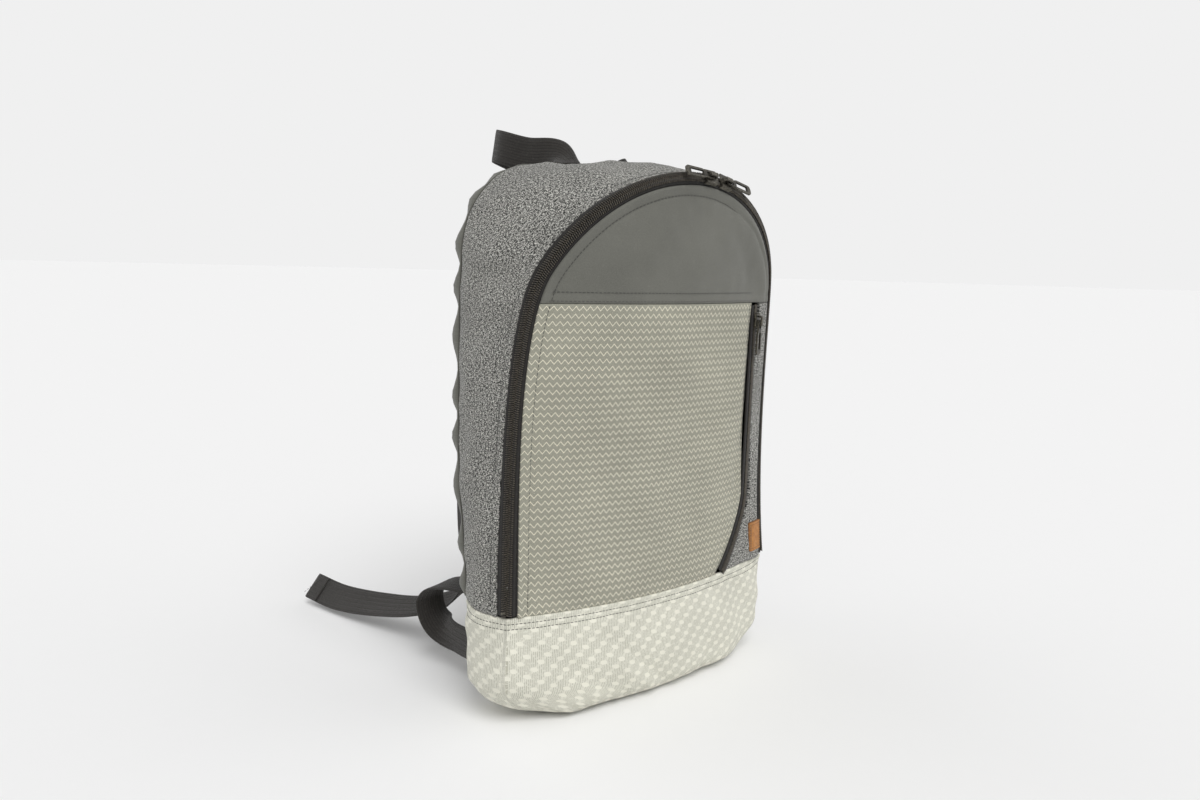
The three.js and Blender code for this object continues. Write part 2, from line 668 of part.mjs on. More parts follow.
function shoulderStrap(name, side) {
  const curve = strapRoute(side);
  const layer = (width, low, high) => loftGeometry(bandSections(curve, 16, width, sideways, low, high, true));
  const half = strapThickness / 2;
  piece(pack, `strap_lining_${name}`, layer(strapWidthAt, -half, -strapFoamHalf - seamGap), liningCloth);
  const foamWidth = (share) => strapWidthAt(share) - strapSeam;
  piece(pack, `strap_foam_${name}`, layer(foamWidth, -strapFoamHalf, strapFoamHalf), foam);
  piece(pack, `strap_cloth_${name}`, layer(strapWidthAt, strapFoamHalf + seamGap, half), darkTwill);
  const outer = half + seamGap;
  piece(pack, `strap_webbing_${name}`, layer(() => webWidth, outer, outer + webThickness), webbing);
  const along = curve.getTangent(1).setX(0).normalize();
  const lockAt = curve.getPoint(1).addScaledVector(along, lockGap);
  ladderLock(pack, `ladder_lock_${name}`, lockAt, along);
  return { along, lockAt };
}

// ---- Lower adjuster webbing and its anchor ----------------------------------------------------
const anchor = { x: 127, y: 33, foot: 18, top: 56, reach: 26, thickness: 2.4, flare: 6, taper: 5 };

function lowerWebbing(name, side, lock) {
  const tab = new THREE.Shape();
  tab.moveTo(anchor.y, anchor.foot - anchor.flare).lineTo(anchor.y, anchor.top + anchor.flare);
  tab.lineTo(anchor.y + anchor.reach, anchor.top - anchor.taper);
  tab.lineTo(anchor.y + anchor.reach, anchor.foot + anchor.taper);
  const geometry = new THREE.ExtrudeGeometry(tab, { depth: anchor.thickness, bevelEnabled: false });
  const tabMesh = piece(pack, `anchor_tab_${name}`, geometry, darkTwill);
  const turned = new THREE.Matrix4().makeBasis(vec(0, 1, 0), vec(0, 0, 1), vec(1, 0, 0));
  tabMesh.quaternion.setFromRotationMatrix(turned);
  tabMesh.position.x = side * anchor.x - anchor.thickness / 2;

  const lockFoot = lock.lockAt.clone().addScaledVector(lock.along, lockSize.length + 1);
  const loop = smoothCurve([
    [side * anchor.x, anchor.y + anchor.reach + 0.5, 37], [side * 117, 84, 37], [side * 113, 108, 39],
    [side * 118, 124, 43], [side * 127, 124, 48], [side * 131, 110, 58],
    [side * 125, 94, 65], [side * 111, lockFoot.y + 7, lockFoot.z - 9],
    lockFoot.clone().add(vec(side * 2, -1, -1.5)).toArray(),
  ]);
  const twist = (share) => webbingUpright.clone().lerp(vec(-side, 0, 0.2), ease((share - 0.7) / 0.3));
  piece(pack, `lower_webbing_${name}`,
    webbingGeometry(loop, 26, twist), webbing);

  const lockMiddle = lock.lockAt.clone().addScaledVector(lock.along, lockSize.length / 2);
  const tailStart = lockMiddle.add(vec(-side * 2, 7, 0));
  const tail = smoothCurve([
    tailStart.toArray(), [side * 98, tailStart.y + 18, tailStart.z - 9], [side * 96, tailStart.y + 40, 70],
    [side * 100, 140, 51], [side * 112, 175, 35],
    [side * 128, 230, 23], [side * 144, 290, 16.5], [side * 153, 335, 18],
  ]);
  const tailTwist = (share) => vec(-side, 0, 0.2).lerp(webbingUpright, ease(share * 4));
  piece(pack, `webbing_tail_${name}`,
    webbingGeometry(tail, 22, tailTwist), webbing);
}

// ---- Haul loop --------------------------------------------------------------------------------
function haulLoop() {
  const route = smoothCurve([
    [-42, 43, packHeight + 4], [-46, 55, packHeight + 11], [-58, 82, packHeight + 13],
    [-71, 108, packHeight + 20], [-64, 124, packHeight + 22], [-35, 129, packHeight + 15],
    [10, 121, packHeight + 3], [38, 94, packHeight - 2], [46, 62, packHeight + 5],
    [42, 43, packHeight + 4],
  ]);
  const twist = (share) => {
    const leg = share < 0.5 ? vec(1, 0, 0) : vec(-1, 0, 0);
    return leg.lerp(webbingUpright, ease(Math.min(share, 1 - share) / 0.2));
  };
  piece(pack, 'haul_loop', webbingGeometry(route, 30, twist), webbing);
}

// ---- Sliders and pulls ------------------------------------------------------------------------
// A slider's own frame: x along its travel, y across the chain, z out of its face.
const bail = { width: 3, footReach: 5, thickness: 1.5, clear: 2.8 };

function sliderGeometry(chain, coilTop, hasLowerLeft) {
  const web = chainSlit - sliderClearance;
  const flange = chain + sliderClearance;
  const edge = flange + 1;
  const top = coilTop + sliderClearance;
  const floor = -tapeThickness - sliderClearance;
  const lower = floor - sliderPlate;
  const lowerReach = chain - 0.6;
  const half = new THREE.Shape();
  half.moveTo(hasLowerLeft ? -lowerReach : -web, lower).lineTo(lowerReach, lower).lineTo(lowerReach, floor);
  half.lineTo(web, floor).lineTo(web, top).lineTo(flange, top).lineTo(flange, sliderClearance);
  half.lineTo(edge, sliderClearance).lineTo(edge, top + sliderPlate);
  half.lineTo(-edge, top + sliderPlate).lineTo(-edge, top).lineTo(-web, top);
  if (hasLowerLeft) half.lineTo(-web, floor).lineTo(-lowerReach, floor);
  const body = new THREE.ExtrudeGeometry(half, { depth: sliderLength, bevelEnabled: false });
  body.translate(0, 0, -sliderLength / 2);

  const seat = top + sliderPlate;
  const arch = new THREE.Shape();
  const { footReach, thickness, clear } = bail;
  arch.moveTo(-footReach, seat - 0.5).lineTo(-footReach + 1, seat + clear + thickness);
  arch.lineTo(footReach - 1, seat + clear + thickness).lineTo(footReach, seat - 0.5);
  arch.lineTo(footReach - thickness, seat - 0.5).lineTo(footReach - thickness - 0.5, seat + clear);
  arch.lineTo(thickness + 0.5 - footReach, seat + clear).lineTo(thickness - footReach, seat - 0.5);
  const crown = new THREE.ExtrudeGeometry(arch, { depth: bail.width, bevelEnabled: false });
  crown.translate(0, 0, -bail.width / 2);
  // Both outlines were drawn facing the viewer: the body's depth is its travel, the crown's its width.
  body.applyMatrix4(new THREE.Matrix4().makeBasis(vec(0, 1, 0), vec(0, 0, 1), vec(1, 0, 0)));
  crown.applyMatrix4(new THREE.Matrix4().makeBasis(vec(1, 0, 0), vec(0, 0, 1), vec(0, -1, 0)));
  return { geometry: joined([body, crown]), pivotHeight: seat + clear / 2 };
}

function pullGeometry() {
  const tip = 4.2;
  const neck = 2.9;
  const outline = new THREE.Shape();
  const barHalf = pullThickness / 2;
  outline.moveTo(-barHalf, -neck).lineTo(8, -neck).lineTo(12, -tip).lineTo(pullLength - 3, -tip);
  outline.quadraticCurveTo(pullLength, -tip, pullLength, 0);
  outline.quadraticCurveTo(pullLength, tip, pullLength - 3, tip);
  outline.lineTo(12, tip).lineTo(8, neck).lineTo(-barHalf, neck);
  const slot = (from, to, half) => {
    const hole = new THREE.Path();
    hole.moveTo(from, -half).lineTo(from, half).lineTo(to, half).lineTo(to, -half);
    outline.holes.push(hole);
  };
  slot(barHalf, 7, 2.1);
  slot(11, pullLength - 5, 2.2);
  const settings = { depth: pullThickness, bevelEnabled: false, curveSegments: 4 };
  const geometry = new THREE.ExtrudeGeometry(outline, settings);
  geometry.translate(0, 0, -pullThickness / 2);
  return geometry;
}

// Places a slider and its pull on a chain; the pull points along the way that the slider travels.
function sliderOn(parent, name, at, frame, direction, shape) {
  const travel = frame.along.clone().multiplyScalar(direction);
  const across = new THREE.Vector3().crossVectors(frame.face, travel);
  const group = new THREE.Group();
  group.quaternion.setFromRotationMatrix(new THREE.Matrix4().makeBasis(travel, across, frame.face));
  group.position.copy(at);
  parent.add(group);
  piece(group, `${name}_slider`, shape.geometry, gunmetal);
  const pull = piece(group, `${name}_pull`, pullGeometry(), gunmetal);
  pull.position.z = shape.pivotHeight;
}

const restAngle = { left: THREE.MathUtils.degToRad(5), right: THREE.MathUtils.degToRad(12.5) };
const pocketSliderZ = pocketZipTopZ - 14;

function sliders(door) {
  const mainCoilTop = coilLift + coilHeight;
  for (const [name, direction] of [['left', -1], ['right', 1]]) {
    const travel = arcShare * restAngle[name] / zipArcHalfAngle;
    const frame = zipFrame(travel);
    const shape = sliderGeometry(chainHalfWidth, mainCoilTop, false);
    // The lower plate belongs on the door's side of the chain, whichever way the slider faces.
    const faces = new THREE.Vector3().crossVectors(frame.face, frame.along.clone().multiplyScalar(direction));
    if (faces.dot(frame.across) < 0) {
      shape.geometry.scale(1, -1, 1);
      flipFaces(shape.geometry);
    }
    sliderOn(door, `main_${name}`, zipPoint(travel), frame, direction, shape);
  }
  const pocketShape = sliderGeometry(pocketChainHalf, coilLift + pocketCoilHeight, true);
  sliderOn(door, 'pocket', pocketZipPoint(pocketSliderZ), pocketZipFrame(pocketSliderZ), 1, pocketShape);
}

function flipFaces(geometry) {
  const index = geometry.index.array;
  for (let k = 0; k < index.length; k += 3) {
    [index[k + 1], index[k + 2]] = [index[k + 2], index[k + 1]];
  }
}

// ---- Stops at the feet of the main zip --------------------------------------------------------
function zipStops() {
  for (const [name, side] of [['left', -1], ['right', 1]]) {
    const travel = side * (zipFoot + 0.006);
    const { along, across, face } = zipFrame(travel);
    const width = chainHalfWidth - chainSlit;
    const stop = piece(pack, `zip_stop_${name}`, new THREE.BoxGeometry(width, 1.6, 3), gunmetal);
    const right = new THREE.Vector3().crossVectors(along, face).normalize();
    stop.quaternion.setFromRotationMatrix(new THREE.Matrix4().makeBasis(right, along, face));
    stop.position.copy(zipPoint(travel)).addScaledVector(across, -(chainSlit + width / 2));
    stop.position.addScaledVector(face, 0.5);
  }
}

// ---- The whole pack ---------------------------------------------------------------------------
baseBoot();
sideGusset();
backPanel();
strapYoke();
haulLoop();
for (const [name, side] of [['left', -1], ['right', 1]]) {
  lowerWebbing(name, side, shoulderStrap(name, side));
}
const door = new THREE.Group();
pack.add(door);
mainZip(door);
zipStops();
frontDoor(door);
pocketZip(door);
leatherLabel(door);
sliders(door);

export default pack;
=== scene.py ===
"""Looks of a zip-round daypack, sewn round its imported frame.

Lengths are millimetres in the pattern classes, and metres once a mesh is made.
"""
import logging
import math
from dataclasses import dataclass, field
from enum import Enum
from typing import Callable, Optional, Sequence, Union

import bmesh
import bpy
import numpy as np
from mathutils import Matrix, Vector


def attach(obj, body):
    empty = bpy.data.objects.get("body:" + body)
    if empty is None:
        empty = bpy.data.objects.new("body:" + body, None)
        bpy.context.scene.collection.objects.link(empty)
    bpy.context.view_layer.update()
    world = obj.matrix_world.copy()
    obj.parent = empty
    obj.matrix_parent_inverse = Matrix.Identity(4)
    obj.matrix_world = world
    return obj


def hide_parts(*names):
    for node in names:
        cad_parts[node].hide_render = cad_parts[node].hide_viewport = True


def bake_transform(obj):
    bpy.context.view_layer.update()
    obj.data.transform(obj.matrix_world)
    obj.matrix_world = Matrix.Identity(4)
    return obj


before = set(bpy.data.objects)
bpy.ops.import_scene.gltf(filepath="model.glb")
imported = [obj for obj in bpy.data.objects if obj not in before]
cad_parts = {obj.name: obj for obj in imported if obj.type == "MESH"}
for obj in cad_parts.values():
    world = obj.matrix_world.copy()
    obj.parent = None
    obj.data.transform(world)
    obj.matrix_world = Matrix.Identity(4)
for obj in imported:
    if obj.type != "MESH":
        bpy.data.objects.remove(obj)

logging.basicConfig(level=logging.INFO, format="%(message)s")
log = logging.getLogger("daypack")

Array = np.ndarray
Socket = bpy.types.NodeSocket
Value = Union[float, Socket]

MM = 0.001
CLOTH_MAP = "cloth"
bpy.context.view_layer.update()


# ---- Small vector helpers -------------------------------------------------------------------


def unit(vectors: Array) -> Array:
    """Vectors along the last axis, made one long."""
    return vectors / np.maximum(np.linalg.norm(vectors, axis=-1, keepdims=True), 1e-12)


def smooth(share: Array) -> Array:
    """Soft step from 0 to 1."""
    share = np.clip(share, 0.0, 1.0)
    return share * share * (3.0 - 2.0 * share)


def lerp(a: Array, b: Array, share: Array) -> Array:
    """Straight mix of a and b."""
    return a + (b - a) * share


def vec(x: Array, y: Array, z: Array) -> Array:
    """Points from three arrays or numbers that fit each other."""
    return np.stack(np.broadcast_arrays(x, y, z), axis=-1).astype(float)


def arc_length(points: Array) -> Array:
    """Distance run along a polyline up to each of its points."""
    steps = np.linalg.norm(np.diff(points, axis=0), axis=1)
    return np.concatenate([[0.0], np.cumsum(steps)])


def resample(points: Array, extra: Array, pitch: float) -> tuple[Array, Array]:
    """Spaces the points of a polyline evenly.

    Args:
        points: the polyline.
        extra: another vector for each point, carried along.
        pitch: distance between two new points.

    Returns:
        The new points and their carried vectors.
    """
    run = arc_length(points)
    count = max(2, int(run[-1] / pitch))
    at = (np.arange(count) + 0.5) * run[-1] / count
    moved = [np.stack([np.interp(at, run, table[:, k]) for k in range(3)], 1) for table in (points, extra)]
    return moved[0], unit(moved[1])


def ripples(x: Array, z: Array, longest: float, shortest: float, seed: int) -> Array:
    """Soft hills over a plane, about 1 high, made of crossing waves.

    Args:
        x: first coordinate.
        z: second coordinate.
        longest: longest wave.
        shortest: shortest wave.
        seed: start of the fixed pseudo-random choice.

    Returns:
        The height at each point.
    """
    rng = np.random.default_rng(seed)
    total = np.zeros(np.broadcast(x, z).shape)
    count = 22
    for _ in range(count):
        length = math.exp(rng.uniform(math.log(shortest), math.log(longest)))
        turn = rng.uniform(0, math.pi)
        phase = rng.uniform(0, 2 * math.pi)
        weight = math.sqrt(length / longest)
        wave = (x * math.cos(turn) + z * math.sin(turn)) * 2 * math.pi / length + phase
        total = total + weight * np.sin(wave)
    return total / math.sqrt(count)


def grid_normals(points: Array) -> Array:
    """Normals of a grid of points, turned by the order rows, columns."""
    down = np.gradient(points, axis=0)
    across = np.gradient(points, axis=1)
    return unit(np.cross(across, down))


def curve_through(points: Sequence[Sequence[float]], count: int) -> Array:
    """Centripetal Catmull-Rom curve, sampled evenly in its parameter.

    Args:
        points: what the curve passes through.
        count: number of steps.

    Returns:
        count + 1 points.
    """
    knots = np.array(points, float)
    first = 2 * knots[0] - knots[1]
    last = 2 * knots[-1] - knots[-2]
    table = np.vstack([first, knots, last])
    made = []
    for share in np.linspace(0, len(knots) - 1, count + 1):
        k = min(int(share), len(knots) - 2)
        w = share - k
        p0, p1, p2, p3 = table[k : k + 4]
        d0, d1, d2 = (max(np.linalg.norm(b - a) ** 0.5, 1e-4) for a, b in ((p0, p1), (p1, p2), (p2, p3)))
        t1 = ((p1 - p0) / d0 - (p2 - p0) / (d0 + d1) + (p2 - p1) / d1) * d1
        t2 = ((p2 - p1) / d1 - (p3 - p1) / (d1 + d2) + (p3 - p2) / d2) * d1
        made.append(
            p1 + t1 * w + (-3 * p1 + 3 * p2 - 2 * t1 - t2) * w**2 + (2 * p1 - 2 * p2 + t1 + t2) * w**3
        )
    return np.array(made)


# ---- Meshes ---------------------------------------------------------------------------------


def make_object(
    name: str,
    points: Array,
    faces: Sequence[Sequence[int]],
    materials: Sequence[bpy.types.Material],
    uv: Optional[Array] = None,
    slots: Optional[Array] = None,
) -> bpy.types.Object:
    """Makes one smooth mesh object.

    Args:
        name: the piece's name.
        points: vertices in millimetres.
        faces: vertex numbers of each face.
        materials: the object's materials.
        uv: cloth coordinates of each vertex in millimetres.
        slots: material number of each face.

    Returns:
        The linked object.
    """
    mesh = bpy.data.meshes.new(name)
    mesh.from_pydata((np.asarray(points) * MM).tolist(), [], [list(f) for f in faces])
    if uv is not None:
        layer = mesh.uv_layers.new(name=CLOTH_MAP)
        corners = np.zeros(len(mesh.loops), int)
        mesh.loops.foreach_get("vertex_index", corners)
        layer.data.foreach_set("uv", np.asarray(uv, np.float32)[corners].ravel())
    for material in materials:
        mesh.materials.append(material)
    if slots is not None:
        mesh.polygons.foreach_set("material_index", np.asarray(slots, np.int32))
    mesh.shade_smooth()
    mesh.update()
    piece = bpy.data.objects.new(name, mesh)
    bpy.context.scene.collection.objects.link(piece)
    return piece


def grid_faces(rows: int, columns: int, start: int = 0, is_ring: bool = False) -> list[tuple[int, ...]]:
    """Quads of a grid whose vertices are numbered row by row from start."""
    width = columns if is_ring else columns - 1
    made = []
    for r in range(rows - 1):
        for c in range(width):
            right = (c + 1) % columns
            low, high = start + r * columns, start + (r + 1) * columns
            made.append((low + c, low + right, high + right, high + c))
    return made


def shell(
    name: str,
    outer: Array,
    inner: Array,
    uv: Array,
    materials: Sequence[bpy.types.Material],
    is_ring: bool = False,
) -> bpy.types.Object:
    """A closed cloth shell between two grids; its inner face takes the second material.

    Args:
        name: the piece's name.
        outer: outer grid, rows by columns by 3.
        inner: inner grid of the same size.
        uv: cloth coordinates of the grid.
        materials: outer and inner material.
        is_ring: True where the last column joins the first.

    Returns:
        The linked object.
    """
    rows, columns = outer.shape[:2]
    count = rows * columns
    faces = grid_faces(rows, columns, 0, is_ring)
    outer_count = len(faces)
    faces += [f[::-1] for f in grid_faces(rows, columns, count, is_ring)]
    inner_count = len(faces) - outer_count
    rims = [([c for c in range(columns)], False), ([(rows - 1) * columns + c for c in range(columns)], True)]
    if not is_ring:
        rims.append(([r * columns for r in range(rows)], True))
        rims.append(([r * columns + columns - 1 for r in range(rows)], False))
    for line, turned in rims:
        closed = line + [line[0]] if is_ring else line
        for a, b in zip(closed, closed[1:]):
            quad = (b, a, a + count, b + count)
            faces.append(quad[::-1] if turned else quad)
    slots = [0] * outer_count + [1] * inner_count + [0] * (len(faces) - outer_count - inner_count)
    points = np.vstack([outer.reshape(-1, 3), inner.reshape(-1, 3)])
    flat = np.vstack([uv.reshape(-1, 2)] * 2)
    piece = make_object(name, points, faces, materials, flat, slots)
    turn_outwards(piece)
    return piece


def turn_outwards(piece: bpy.types.Object) -> None:
    """Turns every face of a closed mesh to the outside."""
    work = bmesh.new()
    work.from_mesh(piece.data)
    bmesh.ops.recalc_face_normals(work, faces=work.faces)
    work.to_mesh(piece.data)
    work.free()


def scattered(
    name: str,
    shape: tuple[Array, list[tuple[int, ...]]],
    centres: Array,
    axes: tuple[Array, Array, Array],
    material: bpy.types.Material,
) -> bpy.types.Object:
    """Many copies of one small shape in one mesh.

    Args:
        name: the piece's name.
        shape: vertices and faces of the small shape.
        centres: middle of each copy.
        axes: directions of the shape's x, y and z for each copy.
        material: its material.

    Returns:
        The linked object.
    """
    base, base_faces = shape
    placed = centres[:, None, :]
    for k in range(3):
        placed = placed + base[None, :, k, None] * axes[k][:, None, :]
    size = len(base)
    faces = [tuple(i + n * size for i in face) for n in range(len(centres)) for face in base_faces]
    uv = np.tile(base[:, :2], (len(centres), 1)) + np.repeat(np.arange(len(centres))[:, None] * 7.3, size, 0)
    return make_object(name, placed.reshape(-1, 3), faces, [material], uv)


def bead(
    length: float, width: float, height: float, rings: int = 5, sides: int = 6, square: float = 0.7
) -> tuple[Array, list[tuple[int, ...]]]:
    """A rounded grain along x: vertices and faces."""
    points, faces = [(-length / 2, 0, 0)], []
    for r in range(rings):
        turn = math.pi * (r + 1) / (rings + 1)
        reach = math.sin(turn) ** square
        for s in range(sides):
            a = 2 * math.pi * s / sides
            across, up = math.cos(a) * reach * width / 2, math.sin(a) * reach * height / 2
            points.append((-math.cos(turn) * length / 2, across, up))
    points.append((length / 2, 0, 0))
    for s in range(sides):
        after = (s + 1) % sides
        faces.append((0, 1 + after, 1 + s))
        for r in range(rings - 1):
            low, high = 1 + r * sides, 1 + (r + 1) * sides
            faces.append((low + s, low + after, high + after, high + s))
        low = 1 + (rings - 1) * sides
        faces.append((low + s, low + after, len(points) - 1))
    return np.array(points, float), faces


# ---- Node trees -----------------------------------------------------------------------------


class Graph:
    """A short way to write a node tree."""

    def __init__(self, tree: bpy.types.NodeTree) -> None:
        """Starts on an empty tree."""
        self.tree = tree
        self.tree.nodes.clear()

    def add(
        self, kind: str, inputs: Optional[dict[Union[str, int], Value]] = None, **settings: object
    ) -> bpy.types.Node:
        """Adds a node, sets its properties, and fills or links its inputs.

        Args:
            kind: Blender's node type.
            inputs: input name or number, to a value or a socket.
            **settings: properties of the node.

        Returns:
            The node.
        """
        node = self.tree.nodes.new(kind)
        for key, value in settings.items():
            setattr(node, key, value)
        for key, value in (inputs or {}).items():
            self.fill(node.inputs[key], value)
        return node

    def fill(self, socket: Socket, value: Value) -> None:
        """Links a socket, or sets a plain value."""
        if isinstance(value, bpy.types.NodeSocket):
            self.tree.links.new(value, socket)
        else:
            socket.default_value = value

    def math(self, operation: str, a: Value, b: Value = 0.0, clamp: bool = False) -> Socket:
        """One Math node."""
        return self.add("ShaderNodeMath", {0: a, 1: b}, operation=operation, use_clamp=clamp).outputs[0]

    def fit(self, value: Value, low: float, high: float, to_low: float = 0.0, to_high: float = 1.0) -> Socket:
        """One clamped Map Range node."""
        inputs = {"Value": value, "From Min": low, "From Max": high, "To Min": to_low, "To Max": to_high}
        return self.add("ShaderNodeMapRange", inputs).outputs[0]

    def mix(self, share: Value, a: object, b: object, blend: str = "MIX") -> Socket:
        """One colour Mix node."""
        node = self.add("ShaderNodeMix", data_type="RGBA", blend_type=blend)
        colours = [s for s in node.inputs if s.type == "RGBA"]
        self.fill(node.inputs[0], share)
        self.fill(colours[0], a)
        self.fill(colours[1], b)
        return [s for s in node.outputs if s.type == "RGBA"][0]

    def noise(self, place: Socket, scale: float, detail: float = 2.0, stretch: tuple = (1, 1, 1)) -> Socket:
        """Noise over a place given in millimetres, with scale in waves per millimetre."""
        moved = self.add("ShaderNodeMapping", {"Vector": place, "Scale": stretch}).outputs[0]
        inputs = {"Vector": moved, "Scale": scale, "Detail": detail, "Roughness": 0.6}
        return self.add("ShaderNodeTexNoise", inputs).outputs[0]

    def split(self, place: Socket) -> tuple[Socket, Socket]:
        """First and second coordinate of a place."""
        node = self.add("ShaderNodeSeparateXYZ", {0: place})
        return node.outputs[0], node.outputs[1]


def shade(r: float, g: float, b: float) -> tuple[float, float, float, float]:
    """Colour seen on a screen, 0 to 255, as a linear colour."""
    def linear(value: float) -> float:
        """One display value, 0 to 255, as a linear share."""
        value = value / 255
        return value / 12.92 if value < 0.04045 else ((value + 0.055) / 1.055) ** 2.4

    return (linear(r), linear(g), linear(b), 1.0)


class Effect(Enum):
    """Shader node groups that more than one finish uses."""

    HEATHER = "heathered yarns"
    TWILL = "twill lines"
    RIBS = "ribbed tape"
    BLOTCH = "handling and dust"


class Effects:
    """Builds each shared effect once."""

    def __init__(self) -> None:
        """Starts with none built."""
        self.made: dict[Effect, bpy.types.NodeTree] = {}

    def tree(self, effect: Effect) -> bpy.types.NodeTree:
        """The group of an effect, built when first asked for."""
        if effect not in self.made:
            build = {
                Effect.HEATHER: self.heather,
                Effect.TWILL: self.twill,
                Effect.RIBS: self.ribs,
                Effect.BLOTCH: self.blotch,
            }
            self.made[effect] = build[effect]()
        return self.made[effect]

    def start(
        self, name: str, inputs: dict[str, float], outputs: Sequence[str]
    ) -> tuple[Graph, bpy.types.Node]:
        """Opens a group with a Vector input, number inputs and number outputs.

        Args:
            name: the group's name.
            inputs: number inputs and their defaults.
            outputs: number outputs.

        Returns:
            The graph and its input node.
        """
        tree = bpy.data.node_groups.new(name, "ShaderNodeTree")
        tree.interface.new_socket("Vector", in_out="INPUT", socket_type="NodeSocketVector")
        for key, value in inputs.items():
            tree.interface.new_socket(
                key, in_out="INPUT", socket_type="NodeSocketFloat"
            ).default_value = value
        for key in outputs:
            tree.interface.new_socket(key, in_out="OUTPUT", socket_type="NodeSocketFloat")
        graph = Graph(tree)
        return graph, graph.add("NodeGroupInput")

    def heather(self) -> bpy.types.NodeTree:
        """Light and dark yarns of random length, woven over and under."""
        graph, source = self.start("HeatheredYarns", {"Yarn": 0.7}, ["Value", "Height"])
        place = source.outputs["Vector"]
        level = graph.noise(place, 0.48, 2.0, (0.9, 2.2, 1.0))
        upright = graph.noise(place, 0.52, 2.0, (2.2, 0.9, 1.0))
        fine = graph.noise(place, 1.5, 2.0)
        u, v = graph.split(place)
        turn = graph.math("DIVIDE", math.pi, source.outputs["Yarn"])
        weft = graph.math("SINE", graph.math("MULTIPLY", v, turn))
        warp = graph.math("SINE", graph.math("MULTIPLY", u, turn))
        over = graph.math("MULTIPLY", weft, warp)
        side = graph.fit(over, -0.5, 0.5)
        mixed = graph.add("ShaderNodeMix", {0: side, 2: level, 3: upright}, data_type="FLOAT").outputs[0]
        blended = graph.math("ADD", graph.math("MULTIPLY", mixed, 0.62), graph.math("MULTIPLY", fine, 0.38))
        value = graph.fit(blended, 0.445, 0.575)
        height = graph.math("ADD", graph.math("MULTIPLY", over, 0.5), graph.math("MULTIPLY", fine, 0.8))
        graph.add("NodeGroupOutput", {"Value": value, "Height": height})
        return graph.tree

    def twill(self) -> bpy.types.NodeTree:
        """Fine slanted wales of a twill, broken up by uneven yarn."""
        graph, source = self.start("TwillLines", {"Pitch": 0.9}, ["Height", "Wale"])
        place = source.outputs["Vector"]
        u, v = graph.split(place)
        uneven = graph.noise(place, 0.8, 2.0)
        slant = graph.math("ADD", graph.math("ADD", u, graph.math("MULTIPLY", v, 0.85)), uneven)
        turn = graph.math("DIVIDE", 2 * math.pi, source.outputs["Pitch"])
        wale = graph.math("SINE", graph.math("MULTIPLY", slant, turn))
        cross = graph.math("SINE", graph.math("MULTIPLY", v, graph.math("MULTIPLY", turn, 1.6)))
        both = graph.math("ADD", wale, graph.math("MULTIPLY", cross, 0.35))
        height = graph.math("ADD", both, graph.math("MULTIPLY", graph.noise(place, 1.4, 2.0), 1.2))
        graph.add("NodeGroupOutput", {"Height": height, "Wale": graph.fit(both, -1.2, 1.2)})
        return graph.tree

    def ribs(self) -> bpy.types.NodeTree:
        """Ribs along a woven tape, each made of slanted yarns in turn left and right."""
        graph, source = self.start("RibbedTape", {"Rib": 2.4, "Pick": 0.9}, ["Height", "Groove"])
        u, v = graph.split(source.outputs["Vector"])
        share = graph.math("DIVIDE", u, source.outputs["Rib"])
        fold = graph.math("PINGPONG", share, 1.0)
        lean = graph.math("ADD", v, graph.math("MULTIPLY", fold, 1.4))
        turn = graph.math("DIVIDE", 2 * math.pi, source.outputs["Pick"])
        picks = graph.math("SINE", graph.math("MULTIPLY", lean, turn))
        edge = graph.math("ABSOLUTE", graph.math("SINE", graph.math("MULTIPLY", share, math.pi)))
        round_rib = graph.math("POWER", edge, 0.5)
        height = graph.math(
            "ADD", graph.math("MULTIPLY", picks, 0.35), graph.math("MULTIPLY", round_rib, 0.9)
        )
        graph.add("NodeGroupOutput", {"Height": height, "Groove": graph.fit(round_rib, 0.75, 0.2)})
        return graph.tree

    def blotch(self) -> bpy.types.NodeTree:
        """Broad soft changes of tone, with a little fine dust."""
        graph, source = self.start("HandlingAndDust", {"Scale": 0.02}, ["Tone", "Dust"])
        place = source.outputs["Vector"]
        inputs = {"Vector": place, "Scale": source.outputs["Scale"], "Detail": 4.0, "Roughness": 0.55}
        tone = graph.add("ShaderNodeTexNoise", inputs).outputs[0]
        dust = graph.fit(graph.noise(place, 0.35, 6.0), 0.56, 0.74)
        graph.add("NodeGroupOutput", {"Tone": graph.fit(tone, 0.3, 0.7), "Dust": dust})
        return graph.tree


EFFECTS = Effects()


